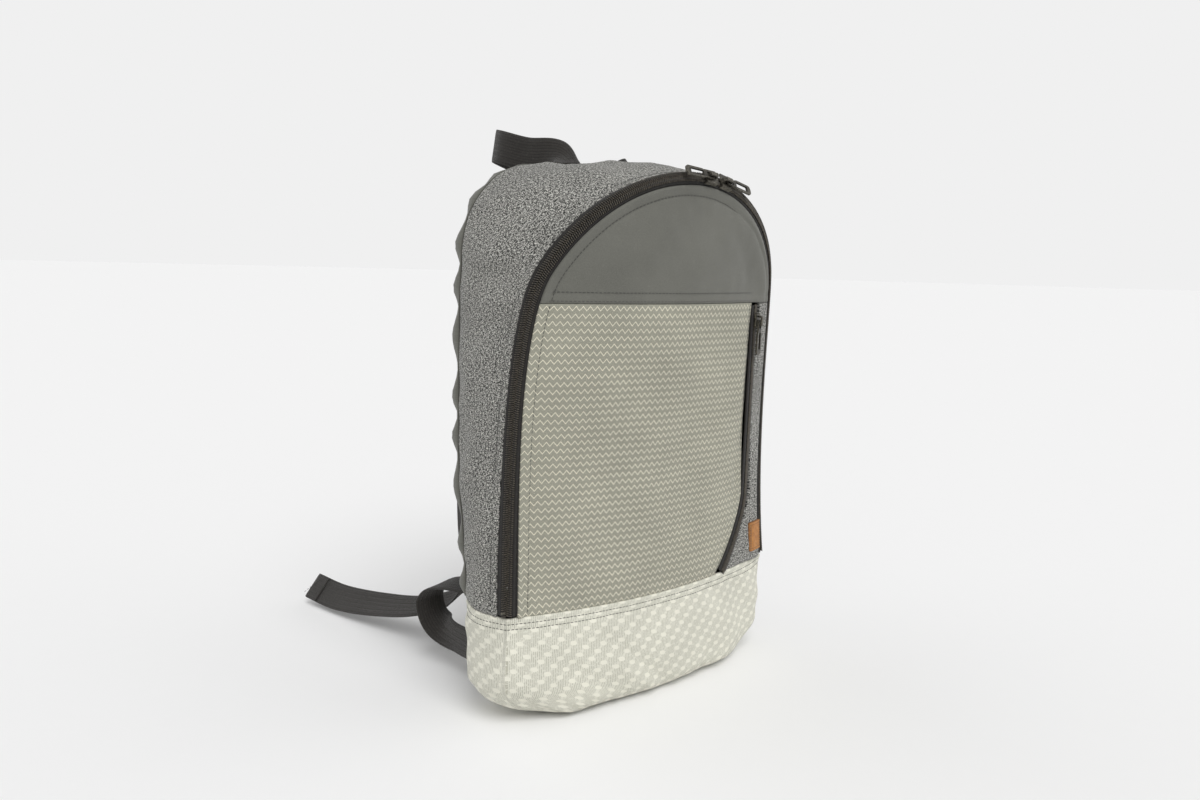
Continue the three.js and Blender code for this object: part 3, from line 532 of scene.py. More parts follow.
@dataclass
class Finish:
    """One finish of the daypack; a child class paints its colour and relief."""

    name: str
    slot: str
    roughness: float = 0.85
    sheen: float = 0.25
    metallic: float = 0.0
    specular: float = 0.3
    bump: float = 0.35
    bump_depth: float = 0.25
    cache: dict[str, bpy.types.Material] = field(default_factory=dict)

    def material(self) -> bpy.types.Material:
        """The Blender material, made when first asked for."""
        if self.name in self.cache:
            return self.cache[self.name]
        material = bpy.data.materials.new(self.name)
        material.use_nodes = True
        graph = Graph(material.node_tree)
        place = graph.add("ShaderNodeUVMap", uv_map=CLOTH_MAP).outputs[0]
        colour, roughness, height = self.paint(graph, place)
        settings = {
            "Base Color": colour,
            "Roughness": roughness,
            "Metallic": self.metallic,
            "Specular IOR Level": self.specular,
            "Sheen Weight": self.sheen,
            "Sheen Roughness": 0.5,
        }
        shader = graph.add("ShaderNodeBsdfPrincipled", settings)
        relief = graph.add(
            "ShaderNodeBump", {"Height": height, "Strength": self.bump, "Distance": self.bump_depth * MM}
        )
        graph.fill(shader.inputs["Normal"], relief.outputs[0])
        graph.add("ShaderNodeOutputMaterial", {"Surface": shader.outputs[0]})
        self.cache[self.name] = material
        return material

    def group(self, graph: Graph, effect: Effect, place: Socket, **values: float) -> bpy.types.Node:
        """Places a shared effect with its own values."""
        node = graph.add("ShaderNodeGroup", node_tree=EFFECTS.tree(effect))
        graph.fill(node.inputs["Vector"], place)
        for key, value in values.items():
            graph.fill(node.inputs[key], value)
        return node

    def aged(
        self, graph: Graph, place: Socket, colour: Socket, amount: float = 0.12, dust: float = 0.05
    ) -> Socket:
        """Lays broad tone changes and dust over a colour."""
        blotch = self.group(graph, Effect.BLOTCH, place)
        tone = graph.fit(blotch.outputs["Tone"], 0, 1, 1 - amount, 1 + amount)
        whole = graph.add("ShaderNodeVectorMath", {0: colour}, operation="SCALE")
        graph.fill(whole.inputs["Scale"], tone)
        dusty = graph.math("MULTIPLY", blotch.outputs["Dust"], dust)
        return graph.mix(dusty, whole.outputs[0], shade(190, 186, 176))

    def paint(self, graph: Graph, place: Socket) -> tuple[Socket, Value, Socket]:
        """Colour, roughness and height of the finish."""
        raise NotImplementedError


@dataclass
class Heather(Finish):
    """Grey cloth of mixed light and dark yarns."""

    dark: tuple = shade(30, 30, 29)
    light: tuple = shade(212, 211, 204)

    def paint(self, graph: Graph, place: Socket) -> tuple[Socket, Value, Socket]:
        """Mixes the yarns."""
        yarns = self.group(graph, Effect.HEATHER, place)
        value = yarns.outputs["Value"]
        colour = graph.mix(graph.math("POWER", value, 1.6), self.dark, self.light)
        roughness = graph.fit(value, 0, 1, 0.95, 0.8)
        return self.aged(graph, place, colour), roughness, yarns.outputs["Height"]


@dataclass
class Twill(Finish):
    """Plain cloth with fine slanted wales."""

    base: tuple = shade(99, 99, 93)
    pale: tuple = shade(122, 122, 114)
    pitch: float = 0.9

    def paint(self, graph: Graph, place: Socket) -> tuple[Socket, Value, Socket]:
        """Paints highlight on the crests of the wales."""
        lines = self.group(graph, Effect.TWILL, place, Pitch=self.pitch)
        grain = graph.noise(place, 0.9, 4.0)
        # The wale crests take the paler colour: painted highlight on the relief, broken up by yarn grain.
        share = graph.math("MULTIPLY", lines.outputs["Wale"], graph.fit(grain, 0.3, 0.7, 0.35, 1.0))
        colour = graph.mix(share, self.base, self.pale)
        roughness = graph.fit(grain, 0.3, 0.7, 0.92, 0.8)
        return self.aged(graph, place, colour, 0.07), roughness, lines.outputs["Height"]


@dataclass
class Zigzag(Finish):
    """Jacquard with one bright zigzag line to a row and quieter chevrons between."""

    ground: tuple = shade(166, 165, 150)
    shadow: tuple = shade(112, 112, 102)
    line: tuple = shade(240, 234, 213)
    row: float = 5.85
    period: float = 5.6
    slope: float = 1.2

    def paint(self, graph: Graph, place: Socket) -> tuple[Socket, Value, Socket]:
        """Draws the rows of zigzag."""
        wobble = graph.math("MULTIPLY", graph.math("SUBTRACT", graph.noise(place, 0.5, 2.0), 0.5), 0.7)
        u, v = graph.split(place)
        zig = graph.math("PINGPONG", u, self.period / 2)
        rise = graph.math("ADD", graph.math("MULTIPLY", zig, self.slope), wobble)
        phase = graph.math("FRACT", graph.math("DIVIDE", graph.math("ADD", v, rise), self.row))
        off = graph.math("ABSOLUTE", graph.math("SUBTRACT", phase, 0.5))
        bright = graph.fit(off, 0.1, 0.035)
        finer = graph.math("FRACT", graph.math("MULTIPLY", phase, 5.0))
        chevron = graph.fit(graph.math("ABSOLUTE", graph.math("SUBTRACT", finer, 0.5)), 0.12, 0.36)
        thread = graph.noise(place, 1.6, 2.0)
        quiet = graph.mix(graph.math("MULTIPLY", chevron, 0.75), self.ground, self.shadow)
        quiet = graph.mix(graph.fit(thread, 0.55, 0.7, 0.0, 0.4), quiet, self.line)
        broken = graph.math("MULTIPLY", bright, graph.fit(thread, 0.3, 0.5, 0.65, 1.0))
        colour = graph.mix(broken, quiet, self.line)
        height = graph.math("ADD", bright, graph.math("MULTIPLY", chevron, -0.35))
        height = graph.math("ADD", height, graph.math("MULTIPLY", thread, 0.7))
        return self.aged(graph, place, colour, 0.08), graph.fit(thread, 0.3, 0.7, 0.9, 0.75), height


@dataclass
class Patches(Finish):
    """Pale jacquard: slanting rows of ribbed round patches parted by smooth bow ties."""

    smooth_cloth: tuple = shade(231, 229, 215)
    rib_light: tuple = shade(222, 221, 208)
    rib_dark: tuple = shade(176, 174, 158)
    period: float = 17.0
    row: float = 5.4
    shift: float = 5.7

    def paint(self, graph: Graph, place: Socket) -> tuple[Socket, Value, Socket]:
        """Draws the patches and their ribs."""
        u, v = graph.split(place)
        bend = graph.math("MULTIPLY", graph.math("SUBTRACT", graph.noise(place, 0.25, 2.0), 0.5), 1.6)
        along = graph.math(
            "ADD", graph.math("SUBTRACT", u, graph.math("MULTIPLY", v, self.shift / self.row)), bend
        )
        first = graph.math("MULTIPLY", along, 2 * math.pi / self.period)
        second = graph.math("ADD", first, graph.math("MULTIPLY", v, 2 * math.pi / self.row))
        swell = graph.math("ADD", graph.math("COSINE", first), graph.math("COSINE", second))
        dots = graph.fit(swell, 1.05, 0.6)
        links = graph.fit(graph.math("COSINE", first), 0.95, 0.75, 0.5, 1.0)
        patch = graph.math("MINIMUM", dots, links)
        rib_turn = graph.math(
            "MULTIPLY", graph.math("ADD", u, graph.math("MULTIPLY", bend, 0.3)), 2 * math.pi / 1.55
        )
        rib = graph.fit(graph.math("SINE", rib_turn), -0.35, 0.75)
        dash = graph.fit(graph.noise(place, 0.9, 2.0, (1, 0.6, 1)), 0.36, 0.5)
        dark = graph.math("MULTIPLY", graph.math("MULTIPLY", rib, dash), patch)
        grain = graph.noise(place, 1.4, 3.0)
        cloth = graph.mix(patch, self.smooth_cloth, self.rib_light)
        cloth = graph.mix(graph.math("MULTIPLY", dark, 0.8), cloth, self.rib_dark)
        height = graph.math("SUBTRACT", graph.math("MULTIPLY", patch, 0.6), graph.math("MULTIPLY", dark, 0.9))
        height = graph.math("ADD", height, graph.math("MULTIPLY", grain, 0.5))
        return self.aged(graph, place, cloth, 0.05, 0.04), graph.fit(grain, 0.3, 0.7, 0.9, 0.74), height


@dataclass
class Tape(Finish):
    """Ribbed webbing or zip tape."""

    base: tuple = shade(43, 40, 37)
    crest_scuff_and_highlight: tuple = shade(72, 68, 63)
    rib: float = 2.4
    pick: float = 0.9

    def paint(self, graph: Graph, place: Socket) -> tuple[Socket, Value, Socket]:
        """Paints shade into the grooves, and paler crests that are partly scuffing and partly painted
        highlight.
        """
        ribs = self.group(graph, Effect.RIBS, place, Rib=self.rib, Pick=self.pick)
        grain = graph.noise(place, 1.1, 4.0)
        # Crests of the ribs are painted paler and broken up by grain: partly scuffing, partly painted
        # highlight.
        crest = graph.math(
            "MULTIPLY", graph.fit(ribs.outputs["Height"], 0.5, 1.3), graph.fit(grain, 0.35, 0.65, 0.1, 0.6)
        )
        colour = graph.mix(crest, self.base, self.crest_scuff_and_highlight)
        # Grooves are painted near-black: painted shade between the ribs.
        colour = graph.mix(graph.math("MULTIPLY", ribs.outputs["Groove"], 0.5), colour, shade(18, 17, 16))
        roughness = graph.fit(grain, 0.3, 0.7, 0.85, 0.62)
        return self.aged(graph, place, colour, 0.1), roughness, ribs.outputs["Height"]


@dataclass
class Moulded(Finish):
    """Moulded plastic, painted metal or thread: fine grain, paler on its edges and ridges, partly scuffing
    and partly painted highlight.
    """

    base: tuple = shade(30, 30, 30)
    scuffed_and_highlight: tuple = shade(70, 70, 70)
    grain: float = 0.8
    rough_low: float = 0.35
    rough_high: float = 0.55
    is_object_space: bool = False

    def paint(self, graph: Graph, place: Socket) -> tuple[Socket, Value, Socket]:
        """Pales the finish where its surface stands out: partly scuffing, partly painted highlight on the
        ridges.
        """
        if self.is_object_space:
            coordinates = graph.add("ShaderNodeTexCoord").outputs["Object"]
            scale = graph.add("ShaderNodeVectorMath", {0: coordinates}, operation="SCALE")
            scale.inputs["Scale"].default_value = 1 / MM
            place = scale.outputs[0]
        speckle = graph.noise(place, self.grain, 5.0)
        scratches = graph.noise(place, self.grain * 0.5, 6.0, (0.25, 3.0, 1.0))
        # Convex edges and ridges (Pointiness) are painted paler: partly scuffing, partly painted highlight.
        edge = graph.add("ShaderNodeNewGeometry").outputs["Pointiness"]
        edge_scuff_and_highlight = graph.math("MULTIPLY", graph.fit(edge, 0.5, 0.62), graph.fit(speckle, 0.35, 0.7))
        streak = graph.fit(scratches, 0.62, 0.75, 0.0, 0.35)
        colour = graph.mix(graph.math("MAXIMUM", edge_scuff_and_highlight, streak), self.base, self.scuffed_and_highlight)
        roughness = graph.fit(speckle, 0.3, 0.7, self.rough_low, self.rough_high)
        return colour, roughness, speckle


@dataclass
class Hide(Finish):
    """Vegetable-tanned leather with grain and darker, burnished edges."""

    base: tuple = shade(196, 138, 76)
    deep: tuple = shade(158, 103, 52)
    half_width: float = 9.5
    half_height: float = 14.0

    def paint(self, graph: Graph, place: Socket) -> tuple[Socket, Value, Socket]:
        """Lays grain, blotches and a burnished edge with a plain pressed border."""
        inputs = {"Vector": place, "Scale": 1.7}
        cells = graph.add("ShaderNodeTexVoronoi", inputs, feature="DISTANCE_TO_EDGE").outputs["Distance"]
        crease = graph.fit(cells, 0.0, 0.12)
        fog = graph.noise(place, 0.25, 4.0)
        u, v = graph.split(place)
        side = graph.math("SUBTRACT", self.half_width, graph.math("ABSOLUTE", u))
        foot = graph.math("SUBTRACT", self.half_height, graph.math("ABSOLUTE", v))
        from_edge = graph.math("MINIMUM", side, foot)
        burnt = graph.fit(from_edge, 1.1, 0.0)
        off = graph.math("ABSOLUTE", graph.math("SUBTRACT", from_edge, 2.6))
        pressed = graph.fit(off, 0.45, 0.15)
        colour = graph.mix(graph.fit(fog, 0.35, 0.65), self.base, self.deep)
        colour = graph.mix(
            graph.math("MULTIPLY", graph.math("SUBTRACT", 1.0, crease), 0.35), colour, self.deep
        )
        colour = graph.mix(
            graph.math("MULTIPLY", graph.math("MAXIMUM", burnt, pressed), 0.65), colour, shade(112, 70, 35)
        )
        height = graph.math(
            "SUBTRACT", graph.math("MULTIPLY", crease, 0.5), graph.math("MULTIPLY", pressed, 1.4)
        )
        return colour, graph.fit(fog, 0.3, 0.7, 0.62, 0.5), height


HEATHER = Heather("MelangeCloth", "melange", sheen=0.15, bump=0.6, bump_depth=0.35)
TWILL = Twill("DarkTwill", "dark_twill", sheen=0.2, bump=0.35, bump_depth=0.16)
ZIGZAG = Zigzag("ZigzagJacquard", "zigzag", sheen=0.1, bump=0.5, bump_depth=0.3)
JACQUARD = Patches("PatchJacquard", "jacquard", sheen=0.1, bump=0.55, bump_depth=0.5)
WEBBING = Tape("Webbing", "webbing", sheen=0.2, bump=0.7, bump_depth=0.4)
ZIP_TAPE = Tape(
    "ZipTape", "zip_tape", base=shade(31, 29, 27), crest_scuff_and_highlight=shade(48, 45, 42), rib=1.1, pick=0.6, sheen=0.15,
    bump=0.5
)
# On the coil the paler ridge colour is painted highlight on the teeth's ridges.
COIL = Moulded(
    "ZipCoil", "zip_coil", base=shade(46, 43, 39), scuffed_and_highlight=shade(118, 110, 96), sheen=0.0, specular=0.5,
    bump=0.1
)
GUNMETAL = Moulded("Gunmetal", "gunmetal", base=shade(52, 50, 47), scuffed_and_highlight=shade(150, 145, 132), metallic=0.85,
    specular=0.5,
                   sheen=0.0, rough_low=0.28, rough_high=0.45, bump=0.08, is_object_space=True)
PLASTIC = Moulded("HardPlastic", "hard_plastic", base=shade(27, 27, 27), scuffed_and_highlight=shade(74, 72, 70), sheen=0.0,
    specular=0.5,
                  rough_low=0.42, rough_high=0.6, bump=0.15, is_object_space=True)
LEATHER = Hide("TannedLeather", "leather", sheen=0.0, specular=0.45, bump=0.5, bump_depth=0.25)
LINING = Twill("LiningCloth", "lining", base=shade(66, 67, 67), pale=shade(84, 85, 84), pitch=0.6, bump=0.2)
THREAD_DARK = Moulded("DarkThread", "dark_twill", base=shade(66, 66, 62), scuffed_and_highlight=shade(92, 92, 86), sheen=0.3,
    specular=0.3,
                      rough_low=0.7, rough_high=0.9, grain=2.0)
THREAD_GREY = Moulded("GreyThread", "dark_twill", base=shade(60, 60, 56), scuffed_and_highlight=shade(84, 84, 78), sheen=0.3,
    specular=0.3,
                      rough_low=0.7, rough_high=0.9, grain=2.0)


def dress(piece: bpy.types.Object, body: str) -> bpy.types.Object:
    """Lets a piece ride on a body."""
    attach(piece, body)
    log.info("%s: %d faces on %s", piece.name, len(piece.data.polygons), body)
    return piece


def stitches(
    name: str, lines: Sequence[tuple[Array, Array]], finish: Finish, body: str, pitch: float = 3.4
) -> bpy.types.Object:
    """Sews rows of stitches as one piece.

    Args:
        name: the piece's name.
        lines: for each row its points and its outward directions.
        finish: the thread.
        body: the body that it rides on.
        pitch: length of a stitch with its gap.

    Returns:
        The piece.
    """
    centres, along, out = [], [], []
    for points, normals in lines:
        at, normal = resample(points, normals, pitch)
        tangent = unit(np.gradient(at, axis=0))
        centres.append(at)
        along.append(tangent)
        out.append(unit(normal - tangent * np.sum(normal * tangent, 1, keepdims=True)))
    at, tangent, normal = np.vstack(centres), np.vstack(along), np.vstack(out)
    grain = bead(pitch * 0.8, 0.62, 0.5)
    piece = scattered(
        name, grain, at + normal * 0.12, (tangent, np.cross(normal, tangent), normal), finish.material()
    )
    return dress(piece, body)


def band(
    name: str,
    middle: Array,
    width: Union[float, Array],
    tilt: Array,
    thickness: float,
    finish: Finish,
    is_level: bool = False,
) -> bpy.types.Object:
    """A flat tape with rounded edges along a line.

    Args:
        name: the piece's name.
        middle: the line down its middle.
        width: its width, alone or for each point.
        tilt: direction of its width at each point.
        thickness: its thickness.
        finish: its finish.
        is_level: True where the tilt is kept exactly.

    Returns:
        The linked object.
    """
    along = unit(np.gradient(middle, axis=0))
    across = unit(tilt if is_level else tilt - along * np.sum(tilt * along, 1, keepdims=True))
    face = unit(np.cross(across, along))
    half = np.broadcast_to(np.asarray(width, float), (len(middle),))[:, None] / 2
    edge = np.array([0.0, 0.22, 0.6, 1.0])
    flat = np.linspace(-1, 1, 9)
    ring = [(s, 1.0) for s in flat] + [(1 + 0.35 * thickness / 28 * e, 1 - 2 * e) for e in edge[1:-1]]
    ring += [(s, -1.0) for s in flat[::-1]] + [
        (-1 - 0.35 * thickness / 28 * e, -1 + 2 * e) for e in edge[1:-1]
    ]
    points, uv = [], []
    run = arc_length(middle)
    for s, h in ring:
        round_off = 1 - 0.35 * max(0.0, abs(s) - 0.9) / 0.1
        points.append(middle + across * half * s + face * (h * thickness / 2 * min(1.0, round_off)))
        uv.append(np.stack([half[:, 0] * s, run], 1))
    grid = np.stack(points, 1)
    places = np.stack(uv, 1)
    rows, columns = grid.shape[:2]
    faces = grid_faces(rows, columns, 0, True)
    faces += [tuple(range(columns))[::-1], tuple((rows - 1) * columns + k for k in range(columns))]
    piece = make_object(name, grid.reshape(-1, 3), faces, [finish.material()], places.reshape(-1, 2))
    turn_outwards(piece)
    return piece


def puffed(piece: bpy.types.Object, held: Array, pressure: float, cap: float, frames: int = 20) -> None:
    """Inflates a closed cloth by simulation between its sewn lines, and applies the result.

    Args:
        piece: the closed mesh.
        held: True for each vertex that is sewn down.
        pressure: pressure inside.
        cap: furthest that a vertex may move, in millimetres.
        frames: number of steps.
    """
    group = piece.vertex_groups.new(name="sewn")
    group.add([int(k) for k in np.flatnonzero(held)], 1.0, "REPLACE")
    rest = np.array([v.co for v in piece.data.vertices])
    modifier = piece.modifiers.new("stuffing", "CLOTH")
    settings = modifier.settings
    settings.quality = 6
    settings.mass = 0.2
    settings.tension_stiffness = 12
    settings.compression_stiffness = 12
    settings.bending_stiffness = 0.6
    settings.use_pressure = True
    settings.uniform_pressure_force = pressure
    settings.effector_weights.gravity = 0
    settings.vertex_group_mass = "sewn"
    modifier.collision_settings.use_collision = False
    scene = bpy.context.scene
    for step in range(1, frames + 1):
        scene.frame_set(step)
    solved = piece.evaluated_get(bpy.context.evaluated_depsgraph_get())
    moved = np.array([v.co for v in solved.data.vertices])
    shift = moved - rest
    length = np.linalg.norm(shift, axis=1, keepdims=True)
    shift *= np.minimum(1.0, cap * MM / np.maximum(length, 1e-9))
    piece.modifiers.remove(modifier)
    scene.frame_set(1)
    piece.data.vertices.foreach_set("co", (rest + shift).astype(np.float32).ravel())
    piece.data.update()


# ---- The lines and surfaces that the cloth follows -----------------------------------------------


@dataclass(frozen=True)
class Outline:
    """Sizes of the sewn body, the same as in the frame."""

    half_width: float = 150.0
    height: float = 449.0
    corner: float = 70.0
    seam_y: float = 44.0
    seam_foot_y: float = 31.0
    seam_top_y: float = 37.0
    gusset_swell: float = 9.0
    cloth: float = 2.6
    gap: float = 0.4
    base_z: float = 93.0
    arc_radius: float = 140.0
    arc_tilt: float = math.radians(21)
    arc_half_angle: float = math.radians(65)
    arc_share: float = 0.38
    foot_half_width: float = 149.0
    foot_y: float = -27.0
    tape: float = 9.0
    cloth_inset: float = 6.2
    tape_raise: float = 2.4
    foot_widening: float = 2.2
    face_angle: float = math.radians(42)
    swell_foot: float = 25.5
    swell_top: float = 31.0
    yoke_z: float = 338.0
    arc_y: float = -18.0
    arc_z: float = 308.0

    @property
    def up(self) -> Array:
        """Up the slope of the arc."""
        return np.array([0, -math.sin(self.arc_tilt), math.cos(self.arc_tilt)])

    @property
    def axis(self) -> Array:
        """Out of the arc's circle, to the front."""
        return np.array([0, -math.cos(self.arc_tilt), -math.sin(self.arc_tilt)])

    @property
    def centre(self) -> Array:
        """Middle of the arc's circle."""
        return np.array([0, self.arc_y, self.arc_z])


class ZipPath:
    """The line of the main zip; travel runs from -1 at the left foot to 1 at the right."""

    def __init__(self, size: Outline) -> None:
        """Keeps the sizes and works out the side run."""
        self.size = size
        start = self.arc(np.array([size.arc_half_angle]))[0]
        ahead = self.arc_tangent(np.array([size.arc_half_angle]))[0]
        guide = np.array([size.foot_half_width - 7, size.foot_y + 10, size.base_z + 107])
        self.guides = [
            start, start + ahead * 46, guide, np.array([size.foot_half_width, size.foot_y, size.base_z])
        ]

    def arc(self, angle: Array) -> Array:
        """Points of the arc."""
        r = self.size.arc_radius
        side = np.array([1.0, 0, 0])
        sideways = r * np.sin(angle)[..., None] * side
        return self.size.centre + sideways + r * np.cos(angle)[..., None] * self.size.up

    def arc_tangent(self, angle: Array) -> Array:
        """Directions along the arc."""
        return np.cos(angle)[..., None] * np.array([1.0, 0, 0]) - np.sin(angle)[..., None] * self.size.up

    def side(self, t: Array) -> Array:
        """Points of the side run."""
        a, b, c, d = self.guides
        t = t[..., None]
        return a * (1 - t) ** 3 + 3 * b * t * (1 - t) ** 2 + 3 * c * t * t * (1 - t) + d * t**3

    def side_tangent(self, t: Array) -> Array:
        """Directions along the side run."""
        a, b, c, d = self.guides
        t = t[..., None]
        return unit((b - a) * (1 - t) ** 2 + 2 * (c - b) * t * (1 - t) + (d - c) * t * t)

    def point(self, travel: Array) -> Array:
        """Points of the whole line."""
        share = np.abs(travel)
        on_arc = self.arc(self.size.arc_half_angle * np.minimum(share / self.size.arc_share, 1))
        on_side = self.side(np.clip((share - self.size.arc_share) / (1 - self.size.arc_share), 0, 1))
        point = np.where((share <= self.size.arc_share)[..., None], on_arc, on_side)
        point[..., 0] *= np.where(travel < 0, -1, 1)
        return point

    def frame(self, travel: Array) -> tuple[Array, Array, Array]:
        """Directions along the zip, out of its face, and across it towards the door."""
        size = self.size
        share = np.abs(travel)
        t = np.clip((share - size.arc_share) / (1 - size.arc_share), 0, 1)
        on_arc = self.arc_tangent(size.arc_half_angle * np.minimum(share / size.arc_share, 1))
        along = np.where((share <= size.arc_share)[..., None], on_arc, self.side_tangent(t))
        forward = lerp(size.axis, np.array([0, -1.0, 0]), smooth(t * 1.4)[..., None])
        forward = unit(forward - along * np.sum(forward * along, -1, keepdims=True))
        radial = unit(np.cross(forward, along))
        radial = radial * np.where(radial[..., 0] + radial[..., 2] < 0, -1, 1)[..., None]
        face = radial * math.cos(size.face_angle) + forward * math.sin(size.face_angle)
        across = -radial * math.sin(size.face_angle) + forward * math.cos(size.face_angle)
        mirror = np.where(travel < 0, -1.0, 1.0)
        made = []
        for direction in (along, face, across):
            direction = direction.copy()
            direction[..., 0] *= mirror
            made.append(direction)
        return made[0], made[1], made[2]

    def inward(self, travel: Array) -> Array:
        """Directions in the front view that lead from the zip into the door."""
        along = self.frame(np.abs(travel))[0]
        flat = unit(vec(along[..., 2], 0 * along[..., 0], -along[..., 0]))
        flat[..., 0] *= np.where(travel < 0, -1, 1)
        return flat


class DoorSurface:
    """The curved front: a depth for each place across and up."""

    def __init__(self, path: ZipPath) -> None:
        """Tabulates the outline."""
        self.path = path
        self.size = path.size
        self.edge = self.outline(0.0)

    def outline(self, inset: float) -> Array:
        """Right half of the outline, drawn in by an inset, from the foot up."""
        travel = np.linspace(0, 1, 241)
        line = self.path.point(travel)
        inward = self.path.inward(travel)
        reach = self.inset_at(travel, inset) if inset else 0.0
        line[:, 0] += inward[:, 0] * reach
        line[:, 2] += inward[:, 2] * reach
        line[0, 0] = 0
        return line[::-1]

    def half_width(self, z: Array, inset: float = 0.0) -> Array:
        """Half the door's width at a height."""
        line = self.edge if inset == 0 else self.outline(inset)
        return np.interp(z, line[:, 2], line[:, 0])

    def depth(self, x: Array, z: Array) -> Array:
        """How far back the smooth surface lies."""
        size = self.size
        half = np.maximum(np.interp(z, self.edge[:, 2], self.edge[:, 0]), 1)
        rise = np.clip((z - size.base_z) / (size.arc_z - size.base_z), 0, 1)
        swell = lerp(size.swell_foot, size.swell_top, rise) * np.minimum(1, half / size.arc_radius) ** 2
        return np.interp(z, self.edge[:, 2], self.edge[:, 1]) - swell * (
            1 - np.minimum(1, np.abs(x) / half) ** 2
        )

    def face(self, x: Array, z: Array) -> Array:
        """Outward directions."""
        reach = 2.0
        slope_x = (self.depth(x + reach, z) - self.depth(x - reach, z)) / (2 * reach)
        slope_z = (self.depth(x, z + reach) - self.depth(x, z - reach)) / (2 * reach)
        return unit(vec(slope_x, -np.ones_like(slope_x), slope_z))

    def relief(self, x: Array, z: Array) -> Array:
        """How far the cloth bellies and creases."""
        size = self.size
        rise = np.clip((z - size.base_z) / 330, 0, 1)
        broad = 1.7 * ripples(x, z, 150, 55, 5)
        small = 0.36 * ripples(x, z, 38, 14, 8)
        pull = 1.2 * np.sin((x * 0.62 + z * 0.5) / 13) * smooth((170 - z) / 60) * smooth((-x) / 110)
        folds = 0.8 * np.sin(x / 13 + 2.2 * np.sin(z / 37)) * smooth((z - 350) / 40)
        return (broad + small) * (1 - 0.25 * rise) + pull + folds

    def point(self, x: Array, z: Array, lift: Union[float, Array] = 0.0, is_soft: bool = True) -> Array:
        """Points on the cloth, lifted along its outward direction."""
        height = lift + (self.relief(x, z) if is_soft else 0.0)
        return vec(x, self.depth(x, z), z) + self.face(x, z) * np.broadcast_to(height, x.shape)[..., None]

    def inset_at(self, travel: Array, inset: float) -> Array:
        """Inset along the zip: the cloth draws back towards the zip's feet."""
        return inset + self.size.foot_widening * smooth((np.abs(travel) - 0.62) / 0.38)

    def zip_outline(self, inset: float, count: int = 400) -> Array:
        """The outline in the front view from the left foot over the top to the right foot."""
        travel = np.linspace(-1, 1, count)
        reach = self.inset_at(travel, inset)[:, None]
        return self.path.point(travel)[:, [0, 2]] + self.path.inward(travel)[:, [0, 2]] * reach


class GussetSurface:
    """The side and top strip between the back seam and the zip."""

    def __init__(self, path: ZipPath) -> None:
        """Keeps the zip's line."""
        self.path = path
        self.size = path.size

    def seam_depth(self, z: Array) -> Array:
        """How far back the back seam lies."""
        size = self.size
        foot = smooth((z - size.base_z) / 130)
        top = smooth((z - size.arc_z) / (size.height - size.arc_z))
        return lerp(lerp(size.seam_foot_y, size.seam_y, foot), size.seam_top_y, top)

    def back(self, travel: Array) -> tuple[Array, Array]:
        """Points of the back seam and their outward directions."""
        size = self.size
        flat = size.half_width - size.corner
        bend = size.corner * math.pi / 2
        total = flat + bend + size.height - size.corner - size.base_z
        run = np.abs(travel) * total
        turn = np.clip((run - flat) / size.corner, 0, math.pi / 2)
        x = np.where(run < flat, run, flat + size.corner * np.sin(turn))
        z = size.height - size.corner * (1 - np.cos(turn)) - np.maximum(run - flat - bend, 0)
        mirror = np.where(travel < 0, -1, 1)
        return vec(x * mirror, self.seam_depth(z), z), vec(np.sin(turn) * mirror, 0 * x, np.cos(turn))

    def width(self, travel: Array) -> Array:
        """Distance from the zip to the back seam."""
        return np.linalg.norm(self.path.point(travel) - self.back(travel)[0], axis=-1)

    def point(self, travel: Array, from_zip: Array) -> Array:
        """Points of the smooth gusset."""
        zipped = self.path.point(travel)
        seam, out = self.back(travel)
        share = (from_zip / np.linalg.norm(zipped - seam, axis=-1))[..., None]
        return lerp(zipped, seam, share) + out * self.size.gusset_swell * np.sin(math.pi * share)

    def face(self, travel: Array, from_zip: Array) -> Array:
        """Outward directions."""
        low, high = np.maximum(travel - 0.005, -1), np.minimum(travel + 0.005, 1)
        along = self.point(high, from_zip) - self.point(low, from_zip)
        across = self.point(travel, from_zip + 1) - self.point(travel, from_zip - 1)
        return -unit(np.cross(across, along))


def rounded(edge: Array, radius: float, depth: float) -> Array:
    """How far cloth sinks as it rolls into a seam."""
    share = 1 - np.clip(edge / radius, 0, 1)
    return -depth * (1 - np.sqrt(np.maximum(0, 1 - share**2)))


def dent(offset: Array, depth: float = 0.7, width: float = 1.5) -> Array:
    """The valley that a row of stitches pulls into the cloth."""
    return -depth * np.exp(-((offset / width) ** 2))


def near(x: Array, z: Array, line: Array) -> Array:
    """Distance in the front view from each place to a line of points."""
    flat = np.stack([x.ravel(), z.ravel()], 1)
    best = np.full(len(flat), 1e9)
    for start in range(0, len(line), 40):
        part = line[start : start + 40]
        best = np.minimum(best, np.linalg.norm(flat[:, None] - part[None], axis=2).min(1))
    return best.reshape(x.shape)


def crowded(low: float, high: float, count: int, reach: float = 9.0) -> Array:
    """Places from low to high with extra ones close to both ends."""
    ends = np.array([0, 0.5, 1.2, 2.2, 3.4, 4.8, 6.4]) * reach / 9.0
    middle = np.linspace(low + reach, high - reach, count)
    return np.concatenate([low + ends, middle, (high - ends)[::-1]])


SIZE = Outline()
PATH = ZipPath(SIZE)
DOOR = DoorSurface(PATH)
GUSSET = GussetSurface(PATH)


# ---- Sub-assemblies ---------------------------------------------------------------------------------


